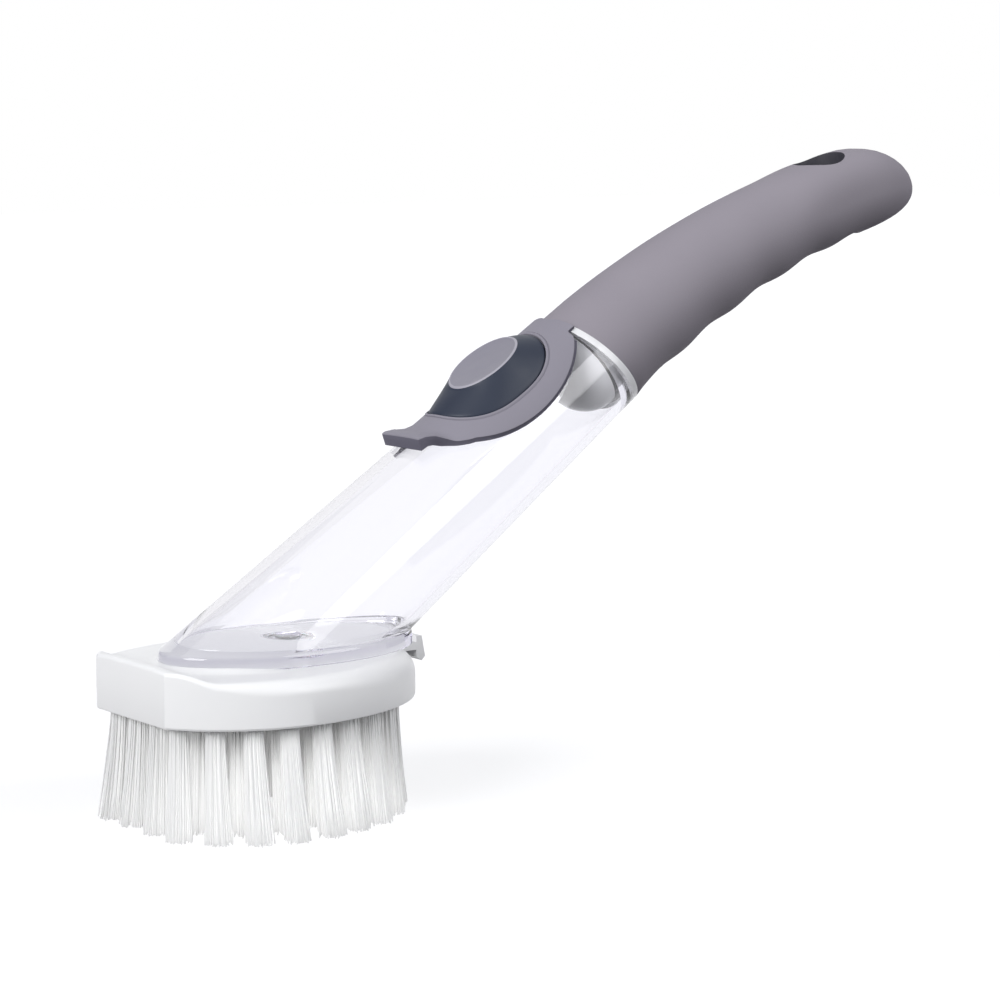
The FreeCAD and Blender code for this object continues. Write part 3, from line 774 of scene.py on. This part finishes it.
def round_spot(station, offset, turn):
    """Spot on the tube's wall, offset mm outside its surface."""
    radius = tube_radius(station) + offset
    return on_tube(station, radius * math.cos(turn), radius * math.sin(turn))


def level_spot(offset, turn, level):
    """Spot on the tube's wall at a level over the floor."""
    rise = math.sin(turn) * math.cos(LEAN)
    height = level - FOOT_TOP - (FOOT_RADIUS + offset) * rise
    return round_spot(height / (math.sin(LEAN) - TUBE_TAPER * rise), offset, turn)


def collar_station(offset, turn):
    """Station at which the tube's wall ends in its slanted edge."""
    slant = COLLAR_SLANT * math.sin(turn)
    return (COLLAR - COLLAR_RING - slant * (FOOT_RADIUS + offset)) / (1 - slant * TUBE_TAPER)


def foot_angle(turn):
    """Direction from the foot's middle to the tube's wall at a turn."""
    wall = level_spot(0, turn, FOOT_TOP)
    return math.atan2(wall.y, wall.x - FOOT_MIDDLE)


def boss_spot(turn, radius, level):
    """Spot round the foot's middle, on the same spoke as the tube's wall above it."""
    return Vector((*out_from(FOOT_MIDDLE, radius, foot_angle(turn)), level))


def plate_spot(turn, margin, level):
    """Spot on the foot's oval edge, moved out by a margin."""
    reach = oval_reach(foot_angle(turn), FOOT_LONG + margin, FOOT_WIDE + margin)
    return boss_spot(turn, reach, level)


def port_cutter():
    """Oval opening under the dome."""
    rings = []
    for height in PORT_CUT:
        ring = []
        for turn in turns_round(PORT_SIDES):
            reach = oval_reach(turn, PORT_LENGTH, PORT_WIDTH)
            ring.append(on_tube(*out_from(PORT_CENTRE, reach, turn), height))
        rings.append(ring)
    return lofted(rings, *[on_tube(PORT_CENTRE, 0, height) for height in PORT_CUT])


def seat_reach(turn):
    """How far the lid's seat reaches from the middle of the opening."""

    def inside(reach):
        station, across = out_from(PORT_CENTRE, reach, turn)
        away = math.hypot(station - LID_CENTRE, saddle_height(station, across, 0) - LID_EDGE_HEIGHT)
        return abs(across) < tube_radius(station) and away < LID_EDGE_RADIUS + SEAT_GAP

    return furthest(inside, SEAT_LIMIT)


def seat_cutter():
    """Shallow recess that the lid lies in."""
    turns = turns_round(SEAT_SIDES)
    reaches = [seat_reach(turn) for turn in turns]

    def ring(share, lift):
        spots = []
        for turn, reach in zip(turns, reaches):
            station, across = out_from(PORT_CENTRE, share * reach, turn)
            spots.append(on_tube(station, across, saddle_height(station, across, lift)))
        return spots

    rings = [ring(share, -SEAT_DEPTH) for share in SEAT_SHARES]
    rings.append(ring(1.0, SEAT_CUT))
    crest = tube_radius(PORT_CENTRE)
    low = on_tube(PORT_CENTRE, 0, crest - SEAT_DEPTH)
    return lofted(rings, low, on_tube(PORT_CENTRE, 0, crest + SEAT_MIDDLE_CUT))


def inner_wall(turns):
    """Rings down the inside of the tube to the foot's upper face."""
    rings = []
    for step in range(INNER_STEPS + 1):
        ring = []
        for turn in turns:
            high = round_spot(NECK_START, -TUBE_WALL, turn)
            low = level_spot(-TUBE_WALL, turn, FOOT_TOP + INNER_WALL_LIFT)
            ring.append(high.lerp(low, step / INNER_STEPS))
        rings.append(ring)
    for inset, lift in INNER_ROUND:
        rings.append([level_spot(-TUBE_WALL - inset, turn, FOOT_TOP + lift) for turn in turns])
    return rings


def outlet_boss(turns):
    """Rings down through the outlet, round the valve's seat and up outside the boss."""
    rings = []
    for radius, level in (
        (OUTLET + BOSS_EDGE, FOOT_TOP),
        (OUTLET, FOOT_TOP),
        (OUTLET, VALVE_SEAT_TOP),
        (VALVE_SEAT, VALVE_SEAT_TOP),
        (VALVE_SEAT, BOSS_END),
        (BOSS_RADIUS - BOSS_EDGE, BOSS_END),
        (BOSS_RADIUS, BOSS_END + BOSS_EDGE),
        (BOSS_RADIUS, HEAD_TOP - FOOT_SINK),
        (BOSS_RADIUS + BOSS_EDGE, HEAD_TOP - FOOT_SINK),
    ):
        rings.append([boss_spot(turn, radius, level) for turn in turns])
    return rings


def outer_wall(turns):
    """Rings round the foot's plate and up the outside of the tube to its slanted edge."""
    rings = []
    for margin, level in PLATE_EDGE:
        rings.append([plate_spot(turn, margin, HEAD_TOP + level) for turn in turns])
    for step in range(OUTER_STEPS + 1):
        ring = []
        for turn in turns:
            low = level_spot(0, turn, FOOT_TOP + OUTER_WALL_LIFT)
            high = round_spot(collar_station(0, turn), 0, turn)
            ring.append(low.lerp(high, step / OUTER_STEPS))
        rings.append(ring)
    return rings


def neck(turns):
    """Rings from the slanted edge up outside the neck and down through its bore."""
    rings = []
    for radius, station in (
        (NECK_RADIUS, None),
        (NECK_RADIUS, NECK_END),
        (NECK_BORE, NECK_END),
        (NECK_BORE, NECK_START),
    ):
        ring = []
        for turn in turns:
            spot = station or COLLAR - COLLAR_RING - radius * math.sin(turn) * COLLAR_SLANT
            ring.append(on_tube(spot, radius * math.cos(turn), radius * math.sin(turn)))
        rings.append(ring)
    return rings


def make_clear_body():
    """Tube, its oval foot and its neck as one clear moulding."""
    turns = turns_round(BODY_SIDES)
    rings = inner_wall(turns) + outlet_boss(turns) + outer_wall(turns) + neck(turns)
    bm = cut_out(cut_out(lofted(rings, loop=True), port_cutter()), seat_cutter())
    body = piece("clear_body", bm, "wand", clear_plastic, crease=30)
    body.visible_shadow = False
    body.visible_diffuse = False
    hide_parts("reservoir_tube", "reservoir_foot")


# Lid


def drum_half_width(station, lift):
    """Half the width of the round outline that the lid and its seat follow."""
    drop = LID_EDGE_RADIUS**2 - (station - LID_CENTRE) ** 2
    return saddle_height(station, LID_EDGE_HEIGHT - math.sqrt(max(drop, 0.0)), lift)


def lid_half_width(station):
    """Half the lid's width, from its pull tab past its round edge to its strap."""
    if station > STRAP_START:
        return STRAP_HALF_WIDTH
    edge = drum_half_width(station, LID_RISE)
    if station > TAB_SPREAD_END:
        return edge
    share = ease((station - TAB_FRONT) / (TAB_SPREAD_END - TAB_FRONT))
    return max(edge, TAB_HALF_WIDTH + TAB_SPREAD * share)


def strap_end(across):
    """Station at which the strap ends: at the handle's slanted edge, with room to swing."""
    edge = COLLAR - saddle_height(COLLAR, across, LID_RISE) * COLLAR_SLANT - STRAP_GAP
    return min(edge, HINGE_STATION + STRAP_GAP + STRAP_CURVE * across**2)


def lid_turns():
    """Turns round the dome's middle, with the tab's and strap's corners among them."""
    front = math.atan2(TAB_HALF_WIDTH, TAB_FRONT - DOME_CENTRE)
    rear = math.atan2(STRAP_HALF_WIDTH, strap_end(STRAP_HALF_WIDTH) - DOME_CENTRE)
    turns = []
    for low, high, count in (
        (-rear, rear, LID_END_STEPS),
        (rear, front, LID_SIDE_STEPS),
        (front, FULL_TURN - front, LID_END_STEPS),
        (FULL_TURN - front, FULL_TURN - rear, LID_SIDE_STEPS),
    ):
        turns += [low + (high - low) * step / count for step in range(count)]
    return turns


def lid_edge_spot(turn):
    """Where a line from the dome's middle leaves the lid's outline."""

    def inside(reach):
        station, across = out_from(DOME_CENTRE, reach, turn)
        return TAB_FRONT <= station <= strap_end(across) and abs(across) <= lid_half_width(station)

    return out_from(DOME_CENTRE, furthest(inside, LID_LIMIT), turn)


def dome_spot(turn, margin):
    """Station and place across on the dome's outline, moved out by a margin."""
    reach = oval_reach(turn, DOME_LENGTH + margin, DOME_WIDTH + margin, DOME_SQUARENESS)
    return out_from(DOME_CENTRE, reach, turn)


def tab_height(station, across):
    """Height of the pull tab's upper side, with a slight crown across it."""
    drop = TAB_CROWN * (across / TAB_HALF_WIDTH) ** 2
    for (first, low), (second, high) in zip(TAB_TOP, TAB_TOP[1:]):
        if station <= second:
            share = ease((station - first) / (second - first))
            return tube_radius(station) + low + (high - low) * share - drop
    return tube_radius(station) + TAB_TOP[-1][1] - drop


def lid_height(station, across):
    """Height of the lid's upper side: a saddle that flattens into the pull tab."""
    share = ease((TAB_ROOT - station) / TAB_RUN)
    return saddle_height(station, across, LID_RISE) * (1 - share) + tab_height(station, across) * share


def lid_surface(station, across, lift):
    return on_tube(station, across, lid_height(station, across) + lift)


def tab_clear(station):
    """Share, from 0 to 1, by which the lid's sides have left the tube under the straight tab."""
    return ease((TAB_SIDE_END - station) / TAB_SIDE_RUN)


def tab_foot(station, height):
    """Height of the lid's foot, which leaves the tube's sides under the straight tab."""
    return height + (tube_radius(station) + TAB_FOOT_LIFT - height) * tab_clear(station)


def lid_under(station, across):
    """Spot on the lid's underside, which sinks into its seat inside its edge."""
    deep = abs(across) < drum_half_width(station, -LID_SINK) - LID_PLUG_GAP
    height = saddle_height(station, across, -LID_SINK if deep else LID_SIDE_LIFT)
    return on_tube(station, across, tab_foot(station, height))


def lid_rim(spoke, depth):
    """Spot down the lid's outer edge, which flares out to the tube's surface."""
    (start, start_across), (station, across) = spoke
    high = lid_height(station, across)
    radius = math.hypot(across, high)
    angle = math.atan2(across, high)
    turned = angle - math.atan2(start_across, lid_height(start, start_across))
    run = Vector((station - start, radius * turned)).normalized() * LID_FLARE * depth
    if station > STRAP_START - STRAP_BLEND:
        run = Vector((0, 0))
    foot = tube_radius(station) + LID_RIM_LIFT
    angle += run.y / foot
    low = tab_foot(station, foot * math.cos(angle))
    low_across = foot * math.sin(angle)
    low_across += (across - low_across) * tab_clear(station)
    return on_tube(station + run.x, across + (low_across - across) * depth, high + (low - high) * depth)


def flange_width(spoke):
    """Width of the lid from the dome's hole to its edge."""
    inner, outer = spoke
    return (lid_surface(*inner, 0) - lid_surface(*outer, 0)).length


def along(spoke, distance):
    """Station and place across at a distance from the dome's hole towards the lid's edge."""
    (station, across), (end_station, end_across) = spoke
    share = distance / flange_width(spoke)
    return station + (end_station - station) * share, across + (end_across - across) * share


def place_key(spot):
    """A spot rounded so that it can be found again in the mesh."""
    return tuple(round(value, 3) for value in spot)


def make_lid():
    """Saddle-shaped lid with a bead round the dome, painted shade on its outer edge, a pull tab and a
    strap.
    """
    spokes = [(dome_spot(turn, DOME_GAP), lid_edge_spot(turn)) for turn in lid_turns()]
    rings = [[lid_under(*inner) for inner, _ in spokes]]
    bead_end = LID_BEAD[-1][0]
    for distance, lift in LID_BEAD:
        rings.append([lid_surface(*along(spoke, distance), lift) for spoke in spokes])
    for share in LID_FLANGE:
        ring = []
        for spoke in spokes:
            distance = bead_end + (flange_width(spoke) - bead_end) * share
            ring.append(lid_surface(*along(spoke, distance), 0))
        rings.append(ring)
    for inset, lift in LID_UPPER_EDGE:
        rings.append([lid_surface(*along(spoke, flange_width(spoke) - inset), lift) for spoke in spokes])
    rim = [[lid_rim(spoke, depth) for spoke in spokes] for depth in LID_RIM]
    rings += rim
    rings.append([lid_under(*along(spoke, flange_width(spoke) - LID_UNDER_INSET)) for spoke in spokes])
    bm = lofted(rings, loop=True)
    # The faces down the lid's outer edge take the darker copy of its silicone, as painted shade.
    shaded_band = {place_key(spot) for ring in rim for spot in ring}
    for face in bm.faces:
        on_shaded_rim = all(place_key(corner.co) in shaded_band for corner in face.verts)
        face.material_index = 1 if on_shaded_rim else 0
    lid = piece("lid_skin", bm, "lid", lid_silicone, crease=24)
    lid.data.materials.append(lid_edge)
    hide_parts("fill_lid")


# Button


def dome_base(turn, lift):
    """Spot on the dome's outline where it meets the lid's upper side."""
    station, across = dome_spot(turn, 0)
    return on_tube(station, across, saddle_height(station, across, LID_RISE) + lift)


def facet_spot(turn, scale, lift):
    """Spot on the button's oval top."""
    reach = oval_reach(turn, FACET_LENGTH, FACET_WIDTH) * scale
    return on_tube(*out_from(FACET_CENTRE, reach, turn), FACET_HEIGHT + lift)


def button_finish(face, top):
    """Number of a face's finish: 0 for the oval top, 1 for the flank in painted shade, 2 for the rim
    between them with a painted highlight.
    """
    spot = face.calc_center_median() - top
    reach = math.hypot(spot.dot(TUBE_ALONG) / FACET_LENGTH, spot.y / FACET_WIDTH)
    height = spot.dot(TUBE_OUT) - FACET_HOLLOW
    if reach > SHADED_FLANK_FROM or height < -SHADED_FLANK_DROP:
        return 1
    return 2 if reach > HIGHLIGHT_RIM_FROM else 0


def make_button():
    """Dome with a bulging flank and a hollowed oval top; painted shade on the flank and a painted
    highlight on the top's rim.
    """
    turns = turns_round(DOME_SIDES)
    crest = on_tube(DOME_CENTRE, 0, tube_radius(DOME_CENTRE))
    rings = [[dome_base(turn, lift) for turn in turns] for lift in DOME_SKIRT]
    for share in FLANK_SHARES:
        bulge = FLANK_BULGE * 4 * share * (1 - share)
        ring = []
        for turn in turns:
            low = dome_base(turn, 0)
            spot = low.lerp(facet_spot(turn, *FACET_PROFILE[0]), share)
            ring.append(spot + (low - crest).normalized() * bulge)
        rings.append(ring)
    for scale, lift in FACET_PROFILE:
        rings.append([facet_spot(turn, scale, lift) for turn in turns])
    under = on_tube(DOME_CENTRE, 0, tube_radius(DOME_CENTRE) - LID_SINK)
    top = on_tube(FACET_CENTRE, 0, FACET_HEIGHT - FACET_HOLLOW)
    bm = lofted(rings, start=under, end=top)
    for face in bm.faces:
        face.material_index = button_finish(face, top)
    button = piece("button_dome", bm, "pump", button_silicone, crease=50)
    button.data.materials.append(button_flank_painted_shade)
    button.data.materials.append(button_rim_painted_highlight)
    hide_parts("pump_button")


# Head


def head_outline(inset):
    """The head's edge moved in by an inset, from one nose corner round to itself."""
    wide = HEAD_WIDTH - inset
    rear = HEAD_REAR - inset
    front = HEAD_FRONT - inset
    nose = NOSE - inset
    corner = math.acos(-nose / front)
    spots = []
    for step in range(NOSE_STEPS):
        share = 2 * step / NOSE_STEPS - 1
        spots.append((-nose, share * wide * math.sin(corner)))
    for step in range(ROUND_STEPS):
        turn = corner - 2 * corner * step / ROUND_STEPS
        reach = front + (rear - front) * ease((math.cos(turn) + HEAD_BLEND) / (2 * HEAD_BLEND))
        spots.append((reach * math.cos(turn), wide * math.sin(turn)))
    return spots


def beyond_foot(x, y):
    """How far a spot on the head lies outside the foot's recess."""
    long = FOOT_LONG + FOOT_ROOM
    wide = FOOT_WIDE + FOOT_ROOM
    away = x - FOOT_MIDDLE
    level = math.hypot(away / long, y / wide)
    slope = math.hypot(away / long**2, y / wide**2) / max(level, TINY)
    return (level - 1) / max(slope, TINY)


def head_height(x, y):
    """Height of the head's upper side: raised nose lip, dip, and rise to the front of the foot."""
    outside = max(beyond_foot(x, y), 0.0)
    near_foot = math.exp(-((outside / KEEPER_WIDTH) ** 2))
    keeper = KEEPER_RISE * ease((KEEPER_START - x) / KEEPER_RUN) * near_foot
    fall = LIP_FALL * ease((abs(y) - LIP_SIDE) / LIP_SIDE)
    lip = LIP_RISE * ease((-x - LIP_START) / LIP_RUN) * (1 - fall)
    return HEAD_TOP + keeper + lip


def shoulder(x):
    """Radius of the head's upper edge, tighter at the nose and softer at the rear."""
    tighter = NOSE_TIGHTER * ease((-x - NOSE_SHOULDER) / NOSE_SHOULDER_RUN)
    softer = REAR_SOFTER * ease(x / REAR_SHOULDER_RUN)
    return SHOULDER - tighter + softer


def recess_spot(top):
    """Spot on the edge of the foot's recess, on the same spoke as a spot on the head's upper edge."""
    turn = math.atan2(top.y, top.x - FOOT_MIDDLE)
    reach = oval_reach(turn, FOOT_LONG + FOOT_ROOM, FOOT_WIDE + FOOT_ROOM)
    limit = math.hypot(top.x - FOOT_MIDDLE, top.y) - RECESS_EDGE
    return Vector((*out_from(FOOT_MIDDLE, min(reach, limit), turn), 0))


def socket_rings(recess):
    """Rings down the coupling socket and through the soap hole."""
    rings = []
    for radius, height in (
        (SOCKET_RADIUS + SOCKET_EDGE, HEAD_TOP),
        (SOCKET_RADIUS, HEAD_TOP - SOCKET_EDGE),
        (SOCKET_RADIUS, SOCKET_FLOOR),
        (SOAP_HOLE, SOCKET_FLOOR),
        (SOAP_HOLE, BRISTLE),
    ):
        ring = []
        for goal in recess:
            turn = math.atan2(goal.y, goal.x - FOOT_MIDDLE)
            ring.append(Vector((*out_from(FOOT_MIDDLE, radius, turn), height)))
        rings.append(ring)
    return rings


def latch_slot():
    """Cutter for the slot that the latch lies in."""
    slot = bmesh.new()
    bmesh.ops.create_cube(slot, size=1)
    bmesh.ops.scale(slot, vec=LATCH_SLOT, verts=slot.verts)
    bmesh.ops.translate(slot, vec=LATCH_SLOT_PLACE, verts=slot.verts)
    return slot


def make_head():
    """Oval head with a flat nose, a recess for the foot and the coupling socket."""
    edge = head_outline(0.0)
    inner = head_outline(HEAD_INSET)

    def inset_spot(number, inset):
        share = inset / HEAD_INSET
        first, second = edge[number], inner[number]
        return tuple(a + (b - a) * share for a, b in zip(first, second))

    count = range(len(edge))
    rings = []
    for inset, height in HEAD_LOWER_EDGE:
        rings.append([Vector((*inset_spot(n, inset), BRISTLE + height)) for n in count])
    tops = []
    for n in count:
        radius = shoulder(edge[n][0])
        x, y = inset_spot(n, radius)
        tops.append((radius, Vector((x, y, head_height(x, y)))))
    for step in range(SHOULDER_STEPS + 1):
        angle = step * math.pi / (2 * SHOULDER_STEPS)
        ring = []
        for n in count:
            radius, top = tops[n]
            x, y = inset_spot(n, radius * (1 - math.cos(angle)))
            ring.append(Vector((x, y, top.z - radius * (1 - math.sin(angle)))))
        rings.append(ring)
    recess = [recess_spot(top) for _, top in tops]
    for step in range(1, RECESS_STEPS + 1):
        share = step / RECESS_STEPS
        ring = []
        for (_, top), goal in zip(tops, recess):
            x = top.x + (goal.x - top.x) * share
            y = top.y + (goal.y - top.y) * share
            ring.append(Vector((x, y, head_height(x, y))))
        rings.append(ring)
    rings.append([Vector((goal.x, goal.y, HEAD_TOP)) for goal in recess])
    rings += socket_rings(recess)
    bm = cut_out(lofted(rings, loop=True), latch_slot())
    head = piece("head_shell", bm, "head", white_plastic, crease=24)
    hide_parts("head_base")


# Bristles


def row_places(share, count):
    """Tufts spread evenly round a ring: by the head's edge at share 0, by its socket at share 1."""
    beside = SOCKET_RADIUS + TUFT_SOCKET_WALL + TUFT_RADIUS
    wide = (HEAD_WIDTH - TUFT_MARGIN) * (1 - share) + beside * share
    rear = (HEAD_REAR - TUFT_REAR_MARGIN) * (1 - share) + (FOOT_MIDDLE + beside) * share
    nose = (NOSE - TUFT_MARGIN) * (1 - share) + INNER_NOSE * share
    front = nose * HEAD_FRONT / NOSE
    outline = []
    for step in range(ROW_STEPS + 1):
        angle = FULL_TURN * (step + 0.5) / ROW_STEPS
        reach = rear if math.cos(angle) > 0 else front
        outline.append(Vector((max(reach * math.cos(angle), -nose), wide * math.sin(angle), 0)))
    runs = [0.0]
    for first, second in zip(outline, outline[1:]):
        runs.append(runs[-1] + (second - first).length)
    goals = [runs[-1] / count * (number + 0.5) for number in range(count)]
    return [next(spot for spot, run in zip(outline, runs) if run >= goal) for goal in goals]


def filament_mesh():
    """One straight filament of unit radius, drawn out in steps of unit length."""
    bm = bmesh.new()
    ring = bmesh.ops.create_circle(bm, segments=FILAMENT_SIDES, radius=1, cap_ends=True)["verts"]
    for step in range(1, FILAMENT_STEPS + 1):
        ring = raise_ring(bm, ring, [Vector((v.co.x, v.co.y, step)) for v in ring])
    bmesh.ops.contextual_create(bm, geom=ring)
    bmesh.ops.recalc_face_normals(bm, faces=bm.faces)
    mesh = bpy.data.meshes.new("filament")
    bm.to_mesh(mesh)
    bm.free()
    return mesh


def filaments_of(place, count, dice):
    """Root, tip and bend of each filament in a tuft."""
    lean = Vector((TUFT_SWEEP * min(place.x, 0), TUFT_SPLAY * place.y, 0)) / HEAD_WIDTH
    tip_centre = place + lean
    strands = []
    for number in range(count):
        share = math.sqrt((number + 0.5) / count)
        angle = number * SPIRAL_TURN + dice.uniform(-SPIRAL_STRAY, SPIRAL_STRAY)
        spot = Vector((math.cos(angle), math.sin(angle), 0)) * share
        root = place + spot * (TUFT_RADIUS - ROOT_INSET) + Vector((0, 0, BRISTLE + FILAMENT_ROOT))
        fray = dice.uniform(*FRAY) * (TUFT_TIP - TIP_INSET)
        tip = tip_centre + spot * fray
        tip += Vector((dice.gauss(0, TIP_STRAY), dice.gauss(0, TIP_STRAY), 0))
        tip.z = TIP_LIFT + abs(dice.gauss(0, TIP_UNEVEN)) + TIP_ROUND * share * share * dice.random()
        strands.append((root, tip, dice.uniform(*BEND)))
    return strands


def inside_box(value, axis):
    """A place across the head, kept off the side of the solids' box."""
    low, high = (corner[axis] / MM for corner in cad_box)
    return min(max(value, low + BOX_MARGIN), high - BOX_MARGIN)


def make_tufts(row, places, per_tuft, dice):
    """One row of tufts as single filaments."""
    strands = []
    for place in places:
        strands += filaments_of(place, per_tuft, dice)
    pattern = filament_mesh()
    bm = bmesh.new()
    for _ in strands:
        bm.from_mesh(pattern)
    bpy.data.meshes.remove(pattern)
    corners = list(bm.verts)
    size = len(corners) // len(strands)
    for number, (root, tip, bend) in enumerate(strands):
        for corner in corners[number * size : (number + 1) * size]:
            share = corner.co.z / FILAMENT_STEPS
            middle = root.lerp(tip, share)
            sway = share**bend - share
            middle.x += (tip.x - root.x) * sway
            middle.y += (tip.y - root.y) * sway
            radius = FILAMENT_RADIUS * (1 - max(share - FILAMENT_TAPER_START, 0))
            x = inside_box(middle.x, 0) + corner.co.x * radius
            y = inside_box(middle.y, 1) + corner.co.y * radius
            corner.co = (x, y, middle.z)
    tufts = piece(f"filaments_{row}", bm, "head", nylon, crease=80)
    tufts.visible_shadow = False
    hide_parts(f"tufts_{row}")


def make_bristles():
    """All rows of tufts; the inner one also has the tuft in the middle."""
    dice = random.Random(DICE_SEED)
    for row, share, count, per_tuft in TUFT_ROWS:
        places = row_places(share, count)
        if row == "inner":
            places.append(Vector())
        make_tufts(row, places, per_tuft, dice)


# Building


def dress_solids():
    """Finishes for the solids whose own shape shows."""
    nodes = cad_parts
    for finish, names in (
        (milky_plastic, ("neck_plug", "collar_ring")),
        (latch_plastic, ("head_latch",)),
        (white_plastic, ("valve_retainer",)),
        (seal_silicone, ("outlet_valve", "outlet_seal", "neck_o_ring")),
        (core_plastic, ("handle_core",)),
        (staple_brass, ("staples_outer", "staples_middle", "staples_inner")),
    ):
        for name in names:
            nodes[name].data.materials.clear()
            nodes[name].data.materials.append(finish)
            if finish == milky_plastic:
                nodes[name].visible_shadow = False
                nodes[name].visible_diffuse = False


def make_object():
    dress_solids()
    make_clear_body()
    make_grip()
    make_lid()
    make_button()
    make_head()
    make_bristles()


# Stage, light and camera, in metres and degrees

WORLD_SEEN = (1, 1, 1, 1)
WORLD_LIGHT = (0.93, 0.95, 1.0, 1)
WORLD_STRENGTH = 0.52
FLOOR_HALF = 3.0
FLOOR_DROP = 0.0002
FLOOR_PAPER = (0.5, 0.5, 0.51, 1)
FLOOR_LIFT = 0.6
FLOOR_DIM = (0.06, 0.06, 0.065, 1)
CARD_GREY = (0.2, 0.19, 0.25, 1)
CARD_WIDTH = 0.3
CARD_HEIGHT = 0.6
CAMERA_PLACE = (-0.3946, -0.6253, 0.1747)
CAMERA_AZIMUTH = 53.04
CAMERA_DIP = 7.64
CAMERA_LENS = 113.4
CAMERA_SENSOR = 36
CAMERA_NEAR = 0.01


def camera_sees(tree):
    """1 for what the camera sees, straight, mirrored or through clear plastic."""
    path = add_node(tree, "LightPath")
    last = path.outputs["Is Camera Ray"]
    for kind in ("Is Glossy Ray", "Is Transmission Ray"):
        larger = add_node(tree, "Math")
        larger.operation = "MAXIMUM"
        tree.links.new(last, larger.inputs[0])
        tree.links.new(path.outputs[kind], larger.inputs[1])
        last = larger.outputs[0]
    return last


def bare_tree(owner):
    """Emptied node tree of a world or a finish."""
    owner.use_nodes = True
    owner.node_tree.nodes.clear()
    return owner.node_tree


def by_sight(tree, output, unseen, seen):
    """Output that shows one shader to the camera and lights the object with the other."""
    mix = add_node(tree, "MixShader")
    out = add_node(tree, output)
    tree.links.new(camera_sees(tree), mix.inputs[0])
    tree.links.new(unseen.outputs[0], mix.inputs[1])
    tree.links.new(seen.outputs[0], mix.inputs[2])
    tree.links.new(mix.outputs[0], out.inputs["Surface"])


def make_world():
    """White where it is seen, and a softer light on the object."""
    world = bpy.data.worlds.new("studio")
    bpy.context.scene.world = world
    tree = bare_tree(world)
    seen = add_node(tree, "Background", Color=WORLD_SEEN)
    light = add_node(tree, "Background", Color=WORLD_LIGHT, Strength=WORLD_STRENGTH)
    by_sight(tree, "OutputWorld", light, seen)


def floor_finish():
    """Pale paper where it is seen, which throws little light up at the object."""
    finish = bpy.data.materials.new("floor_paper")
    tree = bare_tree(finish)
    paper = add_node(tree, "BsdfDiffuse", Color=FLOOR_PAPER)
    lift = add_node(tree, "Emission", Strength=FLOOR_LIFT)
    lit = add_node(tree, "AddShader")
    tree.links.new(paper.outputs[0], lit.inputs[0])
    tree.links.new(lift.outputs[0], lit.inputs[1])
    dim = add_node(tree, "BsdfDiffuse", Color=FLOOR_DIM)
    by_sight(tree, "OutputMaterial", dim, lit)
    return finish


def stage_piece(name, bm, finish):
    """Thing of the stage, which isn't part of the object."""
    thing = thing_of(name, bm, finish)
    return thing


def make_floor():
    bm = bmesh.new()
    bmesh.ops.create_grid(bm, x_segments=1, y_segments=1, size=FLOOR_HALF)
    bmesh.ops.translate(bm, vec=(0, 0, -FLOOR_DROP), verts=bm.verts)
    stage_piece("floor", bm, floor_finish())


def sun(name, towards, strength, angle):
    data = bpy.data.lights.new(name, "SUN")
    data.energy = strength
    data.angle = math.radians(angle)
    thing = bpy.data.objects.new(name, data)
    thing.rotation_euler = Vector(towards).to_track_quat("Z", "Y").to_euler()
    bpy.context.scene.collection.objects.link(thing)


def make_card(name, middle, facing):
    """Grey card beside the object that shows in reflections only."""
    finish = bpy.data.materials.new(name)
    tree = bare_tree(finish)
    glow = add_node(tree, "Emission", Color=CARD_GREY)
    out = add_node(tree, "OutputMaterial")
    tree.links.new(glow.outputs[0], out.inputs["Surface"])
    bm = bmesh.new()
    bmesh.ops.create_grid(bm, x_segments=1, y_segments=1, size=0.5)
    bmesh.ops.scale(bm, vec=(CARD_WIDTH, CARD_HEIGHT, 1), verts=bm.verts)
    turn = Vector(facing).to_track_quat("Z", "Y").to_matrix()
    bmesh.ops.rotate(bm, matrix=turn, verts=bm.verts)
    bmesh.ops.translate(bm, vec=middle, verts=bm.verts)
    card = stage_piece(name, bm, finish)
    card.visible_camera = False
    card.visible_diffuse = False
    card.visible_transmission = False
    card.visible_shadow = False


def make_camera():
    azimuth = math.radians(CAMERA_AZIMUTH)
    dip = math.radians(CAMERA_DIP)
    flat = math.cos(dip)
    forward = Vector((math.cos(azimuth) * flat, math.sin(azimuth) * flat, -math.sin(dip)))
    data = bpy.data.cameras.new("camera")
    data.sensor_width = CAMERA_SENSOR
    data.lens = CAMERA_LENS
    data.clip_start = CAMERA_NEAR
    thing = bpy.data.objects.new("camera", data)
    thing.location = CAMERA_PLACE
    thing.rotation_euler = forward.to_track_quat("-Z", "Y").to_euler()
    bpy.context.scene.collection.objects.link(thing)
    bpy.context.scene.camera = thing


def make_stage():
    make_world()
    make_floor()
    sun("key", towards=(-0.9, -0.22, 0.40), strength=2.25, angle=35)
    sun("front", towards=(0.48, -0.74, 0.47), strength=1.1, angle=40)
    make_card("card_right", middle=(0.42, 0.0, 0.25), facing=(-1, 0.1, 0))
    make_card("card_left", middle=(-0.1, 0.34, 0.25), facing=(0.4, -0.9, 0))
    make_camera()
    bpy.context.scene.view_settings.view_transform = "Standard"


make_object()
make_stage()
